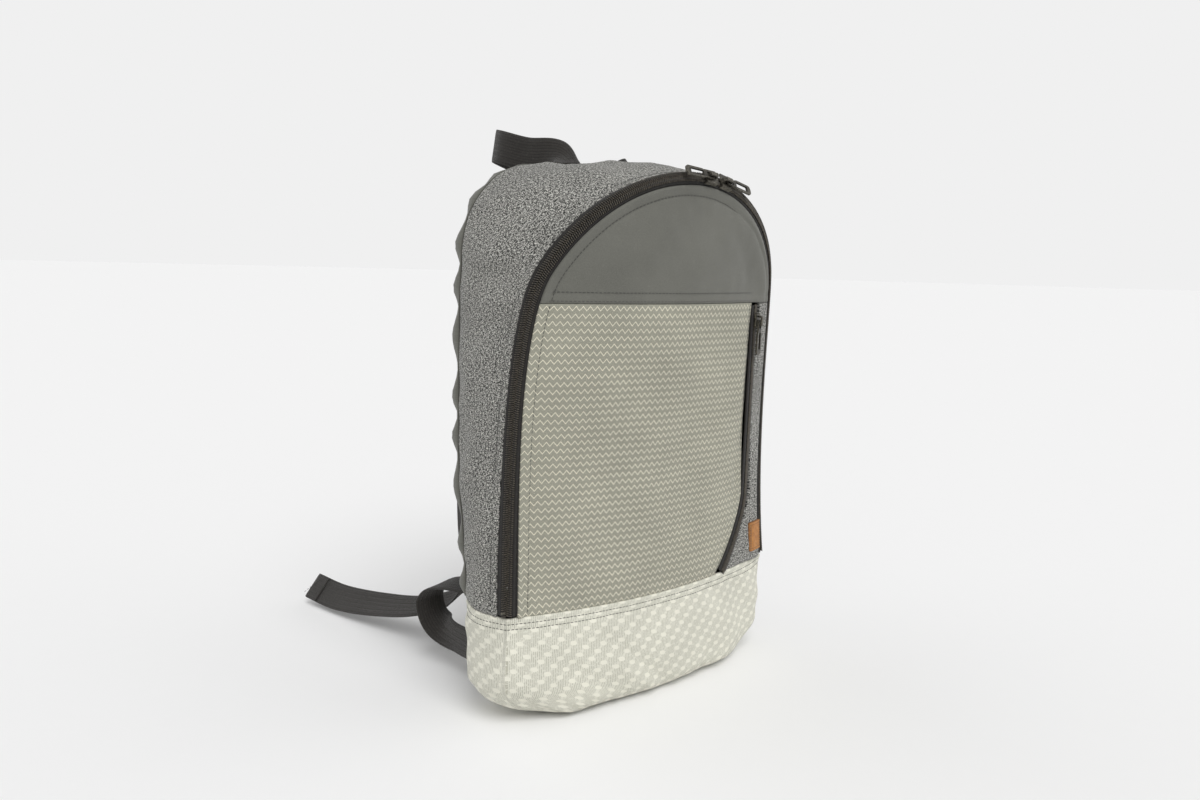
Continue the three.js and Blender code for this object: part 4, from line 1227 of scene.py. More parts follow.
@dataclass
class Door:
    """The front: dark yoke, zigzag pocket panel, side strip, pocket lining and leather label."""

    body: str = "front_door"
    stitch_inset: float = 8.0
    yoke_row: float = 9.0
    zip_x: float = 115.0
    bend_z: float = 161.6
    bend_drop: float = 42.0
    lean: float = 10.0
    zip_half: float = 6.5
    pocket_depth: float = 11.0
    lining: float = 1.5
    label: tuple = (119.0, 102.0, 19.0, 28.0)
    full_side: float = 3.6

    def pocket_zip_x(self, z: Array) -> Array:
        """Middle of the pocket zip at a height."""
        bend = np.clip((self.bend_z - z) / (self.bend_z - SIZE.base_z), 0, 1)
        rise = np.maximum(0, (z - self.bend_z) / (SIZE.yoke_z - 2 - self.bend_z))
        return self.zip_x - self.bend_drop * bend**1.55 - self.lean * rise

    def pocket_side(self, z: Array) -> Array:
        """Half the level width that the pocket zip takes."""
        slant = (self.pocket_zip_x(z + 1) - self.pocket_zip_x(z - 1)) / 2
        return self.zip_half * np.hypot(1, slant)

    def panel(self, name: str, x: Array, z: Array, edges: Sequence[Array], rows: Sequence[Array],
              finish: Finish, nodes: Sequence[str], offset: tuple = (0.0, 0.0)) -> bpy.types.Object:
        """Sews one panel of the door.

        Args:
            name: the piece's name.
            x: grid of places across.
            z: grid of heights.
            edges: lines of points that bound it.
            rows: lines of points where stitches pull it in.
            finish: its finish.
            nodes: the frame's nodes that it stands for.
            offset: shift of its cloth coordinates.

        Returns:
            The piece.
        """
        edge = np.min([near(x, z, line) for line in edges], axis=0)
        lift = rounded(edge, 3.2, 1.5)
        for line in rows:
            lift = lift + dent(near(x, z, line))
        from_zip = near(x, z, edges[0])
        full = smooth(from_zip / 6) * (1 - smooth((from_zip - 8) / 26)) * smooth((x - 40) / 50)
        lift = lift + self.full_side * full
        calm = smooth(edge / 12)
        soft = self.soft(x, z) * calm
        soft = soft + SIZE.tape_raise * np.exp(-((from_zip / 4.5) ** 2))
        outer = DOOR.point(x, z, lift + soft, False)
        inner = DOOR.point(x, z, np.minimum(lift + soft, 0) - SIZE.cloth, False)
        uv = np.stack([x + offset[0], z + offset[1]], -1)
        piece = shell(name, outer, inner, uv, [finish.material(), LINING.material()])
        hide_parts(*nodes)
        return dress(piece, self.body)

    def soft(self, x: Array, z: Array) -> Array:
        """Belly of the cloth, kept between the neighbours."""
        return np.clip(DOOR.relief(x, z), -2.0, 2.6)

    def on_cloth(self, line: Array) -> tuple[Array, Array]:
        """Lifts a line of the front view onto the cloth, with its outward directions."""
        x, z = line[:, 0], line[:, 1]
        return DOOR.point(x, z, self.soft(x, z) * self.calm_at(line) - 0.3, False), DOOR.face(x, z)

    def calm_at(self, line: Array) -> Array:
        """Share of the belly that is left at stitches near the edges."""
        outline = DOOR.zip_outline(SIZE.cloth_inset)
        level = np.stack([np.linspace(-140, 140, 200), np.full(200, SIZE.yoke_z)], 1)
        x, z = line[:, 0], line[:, 1]
        return smooth(np.minimum(near(x, z, outline), near(x, z, level)) / 12)

    def cloth_half(self, z: Array) -> Array:
        """Half the width of the door's cloth at each height."""
        return DOOR.half_width(z, SIZE.cloth_inset)

    def level_line(self, z: float) -> Array:
        """A level line right across the door, as places x and z."""
        return np.stack([np.linspace(-140.0, 140.0, 280), np.full(280, z)], 1)

    def make(self) -> None:
        """Builds every piece of the door."""
        inset = SIZE.cloth_inset
        outline = DOOR.zip_outline(inset, 700)
        row = DOOR.zip_outline(inset + self.stitch_inset, 500)
        half = self.cloth_half
        top = outline[:, 1].max()
        seam, foot = self.level_line(SIZE.yoke_z + 0.2), self.level_line(SIZE.base_z)
        above = self.level_line(SIZE.yoke_z + self.yoke_row)

        rise = top - SIZE.arc_z
        start = math.asin((SIZE.yoke_z + SIZE.gap - SIZE.arc_z) / rise)
        angle = start + (math.pi / 2 - start) * crowded(0, 1, 52, 0.09)
        z = np.broadcast_to((SIZE.arc_z + rise * np.sin(angle))[:, None], (len(angle), 101)).copy()
        share = np.linspace(-1, 1, 101)
        share = 0.55 * share + 0.45 * np.sin(share * math.pi / 2)
        x = share[None, :] * half(z)
        x[-1] = share * 0.02
        self.panel("front_yoke_cloth", x, z, [outline, seam], [row, above], TWILL, ["front_yoke"])

        heights = crowded(SIZE.base_z + SIZE.gap, SIZE.yoke_z, 96)
        zip_x, zip_side = self.pocket_zip_x(heights), self.pocket_side(heights)
        z = np.broadcast_to(heights[:, None], (len(heights), 110)).copy()
        spread = (crowded(0, 240, 96) / 240)[None, :]
        left, right = -half(heights)[:, None], (zip_x - zip_side)[:, None]
        x = left + (right - left) * spread
        pocket_edge = np.stack([zip_x - zip_side, heights], 1)
        z = np.broadcast_to(heights[:, None], x.shape).copy()
        pocket_row = np.stack([zip_x - zip_side - 3.2, heights], 1)
        self.panel(
            "pocket_panel_cloth", x, z, [outline, seam, pocket_edge, foot], [row, pocket_row], ZIGZAG,
            ["pocket_panel"]
        )

        left, right = (zip_x + zip_side)[:, None], half(heights)[:, None]
        x = left + (right - left) * (crowded(0, 26, 8, 3.0) / 26)[None, :]
        z = np.broadcast_to(heights[:, None], x.shape).copy()
        strip_edge = np.stack([zip_x + zip_side, heights], 1)
        strip_row = np.stack([zip_x + zip_side + 3.2, heights], 1)
        self.panel(
            "side_strip_cloth", x, z, [outline, seam, strip_edge, foot], [row, strip_row], HEATHER,
            ["side_strip"], (37, 11)
        )

        self.sew(row, above, pocket_row, strip_row, half)
        self.pocket_lining(half)
        self.leather_label()

    def sew(
        self, row: Array, above: Array, pocket_row: Array, strip_row: Array, half: Callable[[Array], Array]
    ) -> None:
        """Stitches round the door, above the yoke seam and beside the pocket zip."""
        is_low = row[:, 1] < SIZE.base_z + 3
        round_row = row[~is_low]
        upper = round_row[round_row[:, 1] > SIZE.yoke_z + 1.5]
        lower_left = round_row[(round_row[:, 1] <= SIZE.yoke_z - 1) & (round_row[:, 0] < 0)]
        lower_right = round_row[(round_row[:, 1] <= SIZE.yoke_z - 1) & (round_row[:, 0] > 0)]
        level = above[np.abs(above[:, 0]) < half(above[:, 1]) - 3]
        seam = level - [0, self.yoke_row - 2.2]
        seam = seam[np.abs(seam[:, 0]) < half(seam[:, 1]) - 2]
        lines = [self.on_cloth(line) for line in (upper, level, seam)]
        stitches("yoke_stitches", lines, THREAD_GREY, self.body)
        lines = [self.on_cloth(line) for line in (lower_left, lower_right, pocket_row[2:-2], strip_row[2:-2])]
        stitches("panel_stitches", lines, THREAD_DARK, self.body, 3.2)

    def pocket_lining(self, half: Callable[[Array], Array]) -> None:
        """Lining between the pocket and the main room."""
        heights = np.linspace(SIZE.base_z + 4, SIZE.yoke_z - 8, 60)[:, None]
        x = np.linspace(-1, 1, 70)[None, :] * (half(heights) - 4)
        z = np.broadcast_to(heights, x.shape).copy()
        sunk = SIZE.cloth + self.pocket_depth
        soft = 0.8 * ripples(x, z, 90, 25, 31)
        outer = DOOR.point(x, z, soft - sunk, False)
        inner = DOOR.point(x, z, soft - sunk - self.lining, False)
        piece = shell("pocket_lining_cloth", outer, inner, np.stack([x, z], -1), [LINING.material()] * 2)
        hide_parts("pocket_lining")
        dress(piece, self.body)

    def leather_label(self) -> None:
        """A blank leather label with rounded corners and a pressed border, sewn on."""
        left, low, width, height = self.label
        u = crowded(-width / 2, width / 2, 12, 2.2)
        v = crowded(-height / 2, height / 2, 18, 2.2)
        gv, gu = np.meshgrid(v, u, indexing="ij")
        corner = 2.2
        over_u = np.abs(gu) - (width / 2 - corner)
        over_v = np.abs(gv) - (height / 2 - corner)
        far = np.hypot(np.maximum(over_u, 0), np.maximum(over_v, 0))
        pull = np.where((over_u > 0) & (over_v > 0),
            np.minimum(1, corner / np.maximum(np.maximum(over_u, over_v), 1e-6)
                        * np.maximum(over_u, over_v) / np.maximum(far, 1e-6)), 1.0)
        su = np.where(over_u > 0, np.sign(gu) * (width / 2 - corner + np.maximum(over_u, 0) * pull), gu)
        sv = np.where(over_v > 0, np.sign(gv) * (height / 2 - corner + np.maximum(over_v, 0) * pull), gv)
        x, z = left + width / 2 + su, low + height / 2 + sv
        edge = np.minimum(width / 2 - np.abs(gu), height / 2 - np.abs(gv))
        base = self.full_side * smooth((150 - x) / 12) * smooth((x - 112) / 14)
        outer = DOOR.point(x, z, base + 1.7 + rounded(edge, 0.9, 0.7), False)
        inner = DOOR.point(x, z, base - 0.6, False)
        piece = shell("leather_label_tag", outer, inner, np.stack([gu, gv], -1), [LEATHER.material()] * 2)
        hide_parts("leather_label")
        dress(piece, self.body)
        t = np.linspace(0, 1, 60)
        side = [np.stack([np.full(60, s * (width / 2 - 1.3)), (t - 0.5) * (height - 3)], 1) for s in (-1, 1)]
        lines = []
        for line in side:
            at = line + [left + width / 2, low + height / 2]
            rise = self.full_side * smooth((150 - at[:, 0]) / 12) * smooth((at[:, 0] - 112) / 14)
            lines.append((DOOR.point(at[:, 0], at[:, 1], 1.8 + rise, False), DOOR.face(at[:, 0], at[:, 1])))
        stitches("label_stitches", lines, THREAD_DARK, self.body, 2.4)


@dataclass
class MainZip:
    """Two tapes and two coils of interlocking teeth."""

    slit: float = 0.25
    chain: float = 4.2
    pitch: float = 1.75
    foot: float = 0.996
    flat: float = 4.6

    def tape(self, name: str, is_door: bool, body: str, nodes: Sequence[str]) -> None:
        """Weaves the tape of one side.

        Args:
            name: the piece's name.
            is_door: True for the door's side.
            body: the body that it rides on.
            nodes: the frame's nodes that it stands for.
        """
        travel = np.linspace(-self.foot, self.foot, 460)
        _, face, across = PATH.frame(travel)
        sign = 1.0 if is_door else -1.0
        middle = PATH.point(travel)
        widths = np.array([self.slit, 1.5, 3.0, 4.6, 5.6, 7.2, SIZE.tape + 0.3])
        if is_door:
            seam = middle + PATH.inward(travel) * SIZE.tape
            edge = DOOR.point(seam[:, 0], seam[:, 2], -1.6, False)
        else:
            width = np.full(len(travel), SIZE.tape)
            edge = GUSSET.point(travel, width) - 1.6 * GUSSET.face(travel, width)
        flat = middle + across * sign * self.flat
        run = arc_length(middle)
        outer, uv = [], []
        for w in widths:
            share = (w - self.flat) / (SIZE.tape - self.flat)
            at = middle + across * sign * w if w <= self.flat else lerp(flat, edge, share)
            outer.append(at + face * -0.15)
            uv.append(np.stack([np.full(len(run), w), run], 1))
        grid = np.stack(outer, 1)
        inner = grid - face[:, None, :] * 0.75
        piece = shell(name, grid, inner, np.stack(uv, 1), [ZIP_TAPE.material()] * 2)
        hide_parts(*nodes)
        dress(piece, body)

    def coil(self, name: str, is_door: bool, body: str, nodes: Sequence[str]) -> None:
        """Sets the teeth of one side."""
        fine = np.linspace(-self.foot, self.foot, 2400)
        run = arc_length(PATH.point(fine))
        count = int(run[-1] / self.pitch)
        at = (np.arange(count) + (0.5 if is_door else 0.0)) * self.pitch + 0.2
        travel = np.interp(at, run, fine)
        along, face, across = PATH.frame(travel)
        sign = 1.0 if is_door else -1.0
        lean = unit(across * sign + along * 0.22)
        tooth = bead(self.chain + 0.3, self.pitch * 0.62, 2.2, 7, 8, 0.5)
        middle = PATH.point(travel) + across * sign * (self.chain / 2 - 0.12) + face * 0.95
        piece = scattered(name, tooth, middle, (lean, np.cross(face, lean), face), COIL.material())
        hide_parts(*nodes)
        dress(piece, body)

    def cord(self) -> None:
        """The sewn cord that runs down each row of teeth, laid as one row of stitches on each side."""
        travel = np.linspace(-self.foot, self.foot, 900)
        _, face, across = PATH.frame(travel)
        for name, sign, body in (("zip_cord_outer", -1.0, "pack"), ("zip_cord_inner", 1.0, "front_door")):
            line = PATH.point(travel) + across * sign * (self.chain * 0.58) + face * 1.9
            stitches(name, [(line, face)], ZIP_TAPE, body, 1.75)

    def make(self) -> None:
        """Builds both sides."""
        self.tape("zip_tape_outer_woven", False, "pack", ["zip_tape_outer"])
        self.tape("zip_tape_inner_woven", True, "front_door", ["zip_tape_inner"])
        self.coil("zip_coil_outer_teeth", False, "pack", ["zip_coil_outer"])
        self.coil("zip_coil_inner_teeth", True, "front_door", ["zip_coil_inner"])
        self.cord()


@dataclass
class PocketZip:
    """The zip down the pocket's side."""

    door: Door
    half: float = 5.6
    chain: float = 2.8
    pitch: float = 1.35

    def line(self) -> tuple[Array, Array, Array, Array]:
        """Middle, along, face and across of the zip from the top down."""
        top, bend = SIZE.yoke_z - 2, self.door.bend_z
        z = np.concatenate([np.linspace(top, bend, 60)[:-1], np.linspace(bend, SIZE.base_z + 0.6, 60)])
        ends = DOOR.point(self.door.pocket_zip_x(np.array([top, bend])), np.array([top, bend]), 0.0, False)
        share = np.clip((top - z) / (top - bend), 0, 1)[:, None]
        straight = lerp(ends[0], ends[1], share)
        x = self.door.pocket_zip_x(z)
        curved = DOOR.point(x, z, 0.0 * z, False)
        middle = np.where((z >= bend)[:, None], straight, curved)
        along = unit(np.gradient(middle, axis=0))
        face = DOOR.face(x, z)
        across = unit(np.cross(face, along))
        return middle, along, np.cross(along, across), across

    def make(self) -> None:
        """Builds its two tapes and two rows of teeth."""
        middle, along, face, across = self.line()
        run = arc_length(middle)
        for name, sign in (("left", -1.0), ("right", 1.0)):
            widths = np.array([0.2, 1.6, 3.0, 4.4, self.half + 0.8])
            grid = np.stack(
                [middle + across * sign * w - face * (0.15 + 0.5 * (w > self.half)) for w in widths], 1
            )
            uv = np.stack([np.stack([np.full(len(run), w), run], 1) for w in widths], 1)
            piece = shell(
                f"pocket_tape_{name}_woven", grid, grid - face[:, None] * 0.7, uv, [ZIP_TAPE.material()] * 2
            )
            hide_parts(f"pocket_tape_{name}")
            dress(piece, "front_door")
            count = int(run[-1] / self.pitch)
            at = (np.arange(count) + (0.5 if sign > 0 else 0.0)) * self.pitch
            spots = [
                np.stack([np.interp(at, run, table[:, k]) for k in range(3)], 1)
                for table in (middle, along, face, across)
            ]
            lean = unit(spots[3] * sign + spots[1] * 0.2)
            tooth = bead(self.chain + 0.2, self.pitch * 0.78, 1.5, 5, 6, 0.5)
            centre = spots[0] + spots[3] * sign * (self.chain / 2 - 0.1) + spots[2] * 0.75
            normal = unit(spots[2])
            teeth = scattered(
                f"pocket_coil_{name}_teeth", tooth, centre, (lean, np.cross(normal, lean), normal),
                COIL.material()
            )
            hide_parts(f"pocket_coil_{name}")
            dress(teeth, "front_door")


@dataclass
class Gusset:
    """The heathered strip round the sides and top."""

    row: float = 5.5

    def make(self) -> None:
        """Sews the gusset and its stitches."""
        travel = np.linspace(-1, 1, 340)[:, None]
        start = DOOR.inset_at(travel, SIZE.cloth_inset)
        width = GUSSET.width(travel)
        share = crowded(0, 70, 22) / 70
        from_zip = start + (width - start) * share[None, :]
        travel = np.broadcast_to(travel, from_zip.shape)
        smooth_grid = GUSSET.point(travel, from_zip)
        face = GUSSET.face(travel, from_zip)
        run = np.broadcast_to(arc_length(GUSSET.back(travel[:, 0])[0])[:, None], from_zip.shape)
        front, back = from_zip - start, width - from_zip
        foot = np.maximum(smooth_grid[..., 2] - SIZE.base_z, 0)
        edge = np.minimum(np.minimum(front, back), foot + 0.2)
        calm = smooth(edge / 14)
        lift = (2.2 * ripples(run, from_zip, 130, 34, 12) + 0.5 * ripples(run, from_zip, 30, 12, 14)) * calm
        lift = lift + 1.2 * np.exp(-((front / 4.5) ** 2))
        gathers = 0.9 * np.sin(run / 6.2 + 1.5 * np.sin(run / 23)) * np.exp(-back / 12) * smooth(back / 3)
        lift = lift + gathers + rounded(edge, 3.4, 1.6) + dent(front - self.row)
        outer = smooth_grid + face * lift[..., None]
        inner = smooth_grid + face * (np.minimum(lift, 0) - SIZE.cloth)[..., None]
        for grid in (outer, inner):
            grid[..., 2] = np.maximum(grid[..., 2], SIZE.base_z + 0.15)
        uv = np.stack([run, from_zip], -1)
        piece = shell("side_gusset_cloth", outer, inner, uv, [HEATHER.material(), LINING.material()])
        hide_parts("side_gusset")
        dress(piece, "pack")
        line = np.linspace(-0.985, 0.985, 600)
        at = DOOR.inset_at(line, SIZE.cloth_inset) + self.row
        stitches("gusset_stitches",
        [(GUSSET.point(line, at) - 0.3 * GUSSET.face(line, at), GUSSET.face(line, at))],
                 THREAD_DARK, "pack", 3.3)


@dataclass
class Boot:
    """The pale base that wraps up the sides."""

    wall: float = 3.0
    end_run: float = 84.0
    end_rise: float = 34.0
    edge_radius: float = 17.0
    middle_y: float = -8.0
    rows_down: tuple = (5.0, 9.5)
    corner_x: float = 92.0
    corner_reach: float = 10.0
    corner_round: float = 12.0

    def plan(self) -> Array:
        """The plan at the base seam, as a closed ring without its last point."""
        x = crowded(-SIZE.foot_half_width, SIZE.foot_half_width, 110)
        front = vec(x, DOOR.depth(x, np.full(len(x), SIZE.base_z)), SIZE.base_z + 0 * x)
        width = float(GUSSET.width(np.array([1.0]))[0])
        w = np.linspace(0, width, 26)[1:]
        right = GUSSET.point(np.ones(len(w)), w)
        back_x = np.linspace(SIZE.half_width, -SIZE.half_width, 84)[1:]
        back = vec(back_x, SIZE.seam_foot_y + 0 * back_x, SIZE.base_z + 0 * back_x)
        left = right[::-1][1:] * [-1, 1, 1]
        return np.vstack([front, right, back, left])

    def level(self, plan: Array, z: Array, wall: float) -> Array:
        """The boot's ring at each height."""
        def round_in(radius: float, height: float) -> Array:
            """How far a quarter round of this size draws in at each height."""
            return radius * (1 - np.sqrt(np.maximum(0, 1 - (1 - np.clip(z / height, 0, 1)) ** 2)))

        in_x = (round_in(self.end_run, self.end_rise) + wall)[:, None]
        in_y = (round_in(self.edge_radius, self.edge_radius) + wall)[:, None]
        half = SIZE.seam_foot_y - self.middle_y
        height = wall + z * (SIZE.base_z - wall) / SIZE.base_z
        x = plan[None, :, 0] * (1 - in_x / SIZE.half_width)
        y = self.middle_y + (plan[None, :, 1] - self.middle_y) * (1 - in_y / half)
        return vec(x, y, np.broadcast_to(height[:, None], x.shape))

    def rounded_ring(self, rings: Array) -> Array:
        """Each ring with its corners rounded off over a fixed length."""
        steps = np.linalg.norm(np.diff(rings[0], axis=0, append=rings[0][:1]), axis=1)
        place = np.concatenate([[0], np.cumsum(steps)[:-1]])
        gap = np.abs(place[:, None] - place[None, :])
        gap = np.minimum(gap, steps.sum() - gap)
        weight = np.exp(-((gap / self.corner_round) ** 2)) * (steps + np.roll(steps, 1))[None, :]
        weight /= weight.sum(1, keepdims=True)
        return np.einsum("ij,kjc->kic", weight, rings)

    def make(self) -> None:
        """Sews the boot, its bottom and its double stitching."""
        plan = self.plan()
        turn = np.linspace(0, math.pi / 2, 22)[1:]
        z = np.concatenate([SIZE.base_z - np.array([0, 0.5, 1.2, 2.2, 3.5, 5, 6.5, 8, 9.5, 11]),
                            np.linspace(SIZE.base_z - 13, self.end_rise, 24),
                            self.end_rise * (1 - np.sin(turn))])
        outer, inner = self.level(plan, z, 0.0), self.level(plan, z, self.wall)
        around = np.concatenate([[0], np.cumsum(np.linalg.norm(np.diff(plan, axis=0), axis=1))])
        run = np.broadcast_to(around[None, :], outer.shape[:2])
        drop = np.broadcast_to(
            np.concatenate([[0], np.cumsum(np.linalg.norm(np.diff(outer[:, 60], axis=0), axis=1))])[:, None],
            run.shape
        )
        ring = np.concatenate([outer[:, -1:], outer, outer[:, :1]], 1)
        face = grid_normals(ring)[:, 1:-1]
        away = outer - [0, self.middle_y, 50]
        face = face * np.where(np.sum(face * away, -1, keepdims=True) < 0, -1, 1)
        calm = smooth(drop / 16) * smooth(outer[..., 2] / 14)
        length = around[-1] + np.linalg.norm(plan[0] - plan[-1])
        loop = 2 * math.pi * run / length
        soft = 2.0 * ripples(120 * np.sin(loop), drop * 1.2 + 120 * np.cos(loop), 90, 24, 21)
        sag = 1.6 * np.sin(math.pi * np.clip(drop / 95, 0, 1))
        creases = 0.7 * np.sin(run / 4.3 + 2 * np.sin(run / 17)) * np.exp(-((outer[..., 2] - 10) / 12) ** 2)
        lift = (soft + sag + creases) * calm + rounded(drop, 2.6, 1.3)
        outer = lerp(outer, self.rounded_ring(outer), smooth(drop / 30)[..., None])
        for down in self.rows_down:
            lift = lift + dent(drop - down, 0.5, 1.1)
        outer = outer + face * lift[..., None]
        for side in (-1.0, 1.0):
            at_corner = np.exp(
                -(((outer[..., 0] - side * self.corner_x) / 24) ** 2) - (outer[..., 2] / 15) ** 2
            )
            outer[..., 1] -= self.corner_reach * at_corner * (outer[..., 1] < self.middle_y)
        outer[..., 2] = np.maximum(outer[..., 2], 0.0)
        shrink = np.array([0.86, 0.66, 0.42, 0.2, 0.04])
        centre = np.array([0, self.middle_y, 0])
        for grid_name in ("outer", "inner"):
            grid = outer if grid_name == "outer" else inner
            flat = [
                centre * [1, 1, 0] + [0, 0, grid[-1, 0, 2]] + (grid[-1] - centre) * [s, s, 0] for s in shrink
            ]
            if grid_name == "outer":
                outer = np.concatenate([grid, np.stack(flat)])
            else:
                inner = np.concatenate([grid, np.stack(flat)])
        tail = drop[-1, 0] + (1 - shrink) * 40
        drop = np.concatenate([drop, np.broadcast_to(tail[:, None], (len(shrink), drop.shape[1]))])
        run = np.broadcast_to(around[None, :], drop.shape)
        piece = shell(
            "base_boot_cloth", outer, inner, np.stack([run, -drop], -1),
            [JACQUARD.material(), LINING.material()], True
        )
        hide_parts("base_boot")
        dress(piece, "pack")
        lines = []
        for down in self.rows_down:
            k = int(np.argmin(np.abs(drop[:40, 0] - down)))
            points = np.vstack([outer[k], outer[k][:1]])
            normals = np.vstack([face[k], face[k][:1]])
            lines.append((points, normals))
        stitches("boot_stitches", lines, THREAD_DARK, "pack", 3.3)


@dataclass
class BackPanel:
    """The padded back with its sewn channels, lining and the patch that holds the straps."""

    pad: float = 15.0
    edge_radius: float = 9.0
    cover: float = 1.8
    seam_gap: float = 0.9
    patch: tuple = (74.0, 404.0, 24.0, 2.0)
    channels: tuple = (-50.0, 50.0)

    def half_width(self, z: Array) -> Array:
        """Half the panel's width at a height."""
        above = np.clip((z - (SIZE.height - SIZE.corner)) / SIZE.corner, 0, 1)
        return SIZE.half_width - SIZE.corner + SIZE.corner * np.sqrt(np.maximum(0, 1 - above**2))

    def height(self, x: Array, z: Array) -> Array:
        """Thickness of the padding before it is inflated."""
        def round_off(edge: Array) -> Array:
            """Share of the padding's height at this distance from the edge."""
            return np.sqrt(np.maximum(0, 1 - (1 - np.clip(edge / self.edge_radius, 0, 1)) ** 2))

        side = round_off(self.half_width(z) - np.abs(x))
        return self.pad * side * round_off(np.minimum(z - SIZE.base_z - 2, SIZE.height - z))

    def depth(self, x: Array, z: Array) -> Array:
        """How far back the cover lies."""
        return GUSSET.seam_depth(z) + self.seam_gap + self.cover + self.height(x, z)

    def make(self) -> None:
        """Builds the pad, its piping and stitches, the lining and the patch."""
        low, high = SIZE.base_z + 2, SIZE.height
        share = crowded(0, 1, 58, 0.04)
        z = (low + (high - low) * share)[:, None]
        across = crowded(-1, 1, 52, 0.1)[None, :]
        x = across * np.maximum(self.half_width(z), 30)
        z = np.broadcast_to(z, x.shape).copy()
        x = np.sign(x) * np.minimum(np.abs(x), self.half_width(z))
        run = z + SIZE.half_width - np.abs(x)
        edge = np.minimum(self.half_width(z) - np.abs(x), np.minimum(z - low, high - z))
        scallop = 0.5 + 0.5 * np.cos(run * 2 * math.pi / 41 + 0.8 * np.sin(run / 19))
        narrow = (4.5 * scallop - 2.0) * smooth((edge + 6) / 10) * (1 - smooth(edge / 40))
        height = self.height(x, z) * (0.86 - 0.3 * scallop * np.exp(-edge / 20) + 0.1 * smooth(edge / 30))
        for channel in self.channels:
            ends = 14 * smooth((150 - z) / 20)
            line = np.abs(np.abs(x) - abs(channel)) + ends + 14 * smooth((z - 392) / 12)
            height = height - 6.5 * np.exp(-((line / 7) ** 2)) * smooth(edge / 30)
        height = np.maximum(height, 0.8)
        seam = GUSSET.seam_depth(z)
        outer = vec(x - np.sign(x) * narrow, seam + self.seam_gap + self.cover + height, z)
        outer[..., 1] += 0.5 * ripples(x, z, 60, 18, 41) * smooth(edge / 10)
        inner = vec(x, seam + self.seam_gap, z)
        uv = np.stack([x, z], -1)
        piece = shell("back_pad", outer, inner, uv, [TWILL.material()] * 2)
        on_channel = np.abs(np.abs(x) - abs(self.channels[0])) < 3.2
        held = (edge < 2.0) | (on_channel & (z > 150) & (z < 392))
        puffed(piece, np.concatenate([held.ravel(), np.ones(held.size, bool)]), 3.0, 5.0)
        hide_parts("back_cover", "back_foam")
        dress(piece, "pack")
        self.channel_stitches()
        self.lining()
        self.strap_patch()

    def channel_stitches(self) -> None:
        """Rows of stitches down the two channels."""
        z = np.linspace(152, 390, 200)
        lines = []
        for channel in self.channels:
            x = np.full(200, channel)
            y = GUSSET.seam_depth(z) + self.seam_gap + self.cover + self.height(x, z) * 0.88 - 6.2
            lines.append((vec(x, y, z), vec(0 * z, 1 + 0 * z, 0 * z)))
        stitches("channel_stitches", lines, THREAD_DARK, "pack", 4.0)

    def lining(self) -> None:
        """Lining on the inside of the back."""
        inset = SIZE.cloth + 6
        z = np.linspace(SIZE.base_z + 2 + inset, SIZE.height - inset, 60)[:, None]
        x = np.linspace(-1, 1, 60)[None, :] * (self.half_width(z + 0) - inset)
        z = np.broadcast_to(z, x.shape).copy()
        seam = GUSSET.seam_depth(z)
        soft = 0.5 * ripples(x, z, 80, 25, 51) - 0.6
        outer = vec(x, seam - SIZE.gap, z)
        inner = vec(x, seam - SIZE.gap - 1.5 + np.minimum(soft, 0), z)
        piece = shell("back_lining_cloth", outer, inner, np.stack([x, z], -1), [LINING.material()] * 2)
        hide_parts("back_lining")
        dress(piece, "pack")

    def strap_patch(self) -> None:
        """The patch under which the shoulder straps are sewn."""
        half, foot, tall, thick = self.patch
        z = crowded(foot, foot + tall, 8, 4)[:, None]
        x = crowded(-half, half, 60, 5)[None, :]
        x, z = np.broadcast_arrays(x, z)
        x, z = x.copy(), z.copy()
        edge = np.minimum(half - np.abs(x), np.minimum(z - foot, foot + tall - z))
        lift = SIZE.gap + thick + rounded(edge, 1.8, 1.2) + dent(edge - 3.2, 0.5, 1.0)
        outer = vec(x, self.depth(x, z) + lift, z)
        inner = vec(x, self.depth(x, z) - 2.5, z)
        piece = shell("strap_yoke_cloth", outer, inner, np.stack([x, z], -1), [TWILL.material()] * 2)
        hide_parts("strap_yoke")
        dress(piece, "pack")
        lines = []
        for level in (foot + 3.2, foot + tall - 3.2):
            at = np.linspace(-half + 3, half - 3, 120)
            y = self.depth(at, np.full(120, level)) + SIZE.gap + thick - 0.3
            lines.append((vec(at, y, np.full(120, level)), vec(0 * at, 1 + 0 * at, 0 * at)))
        stitches("strap_yoke_stitches", lines, THREAD_GREY, "pack")


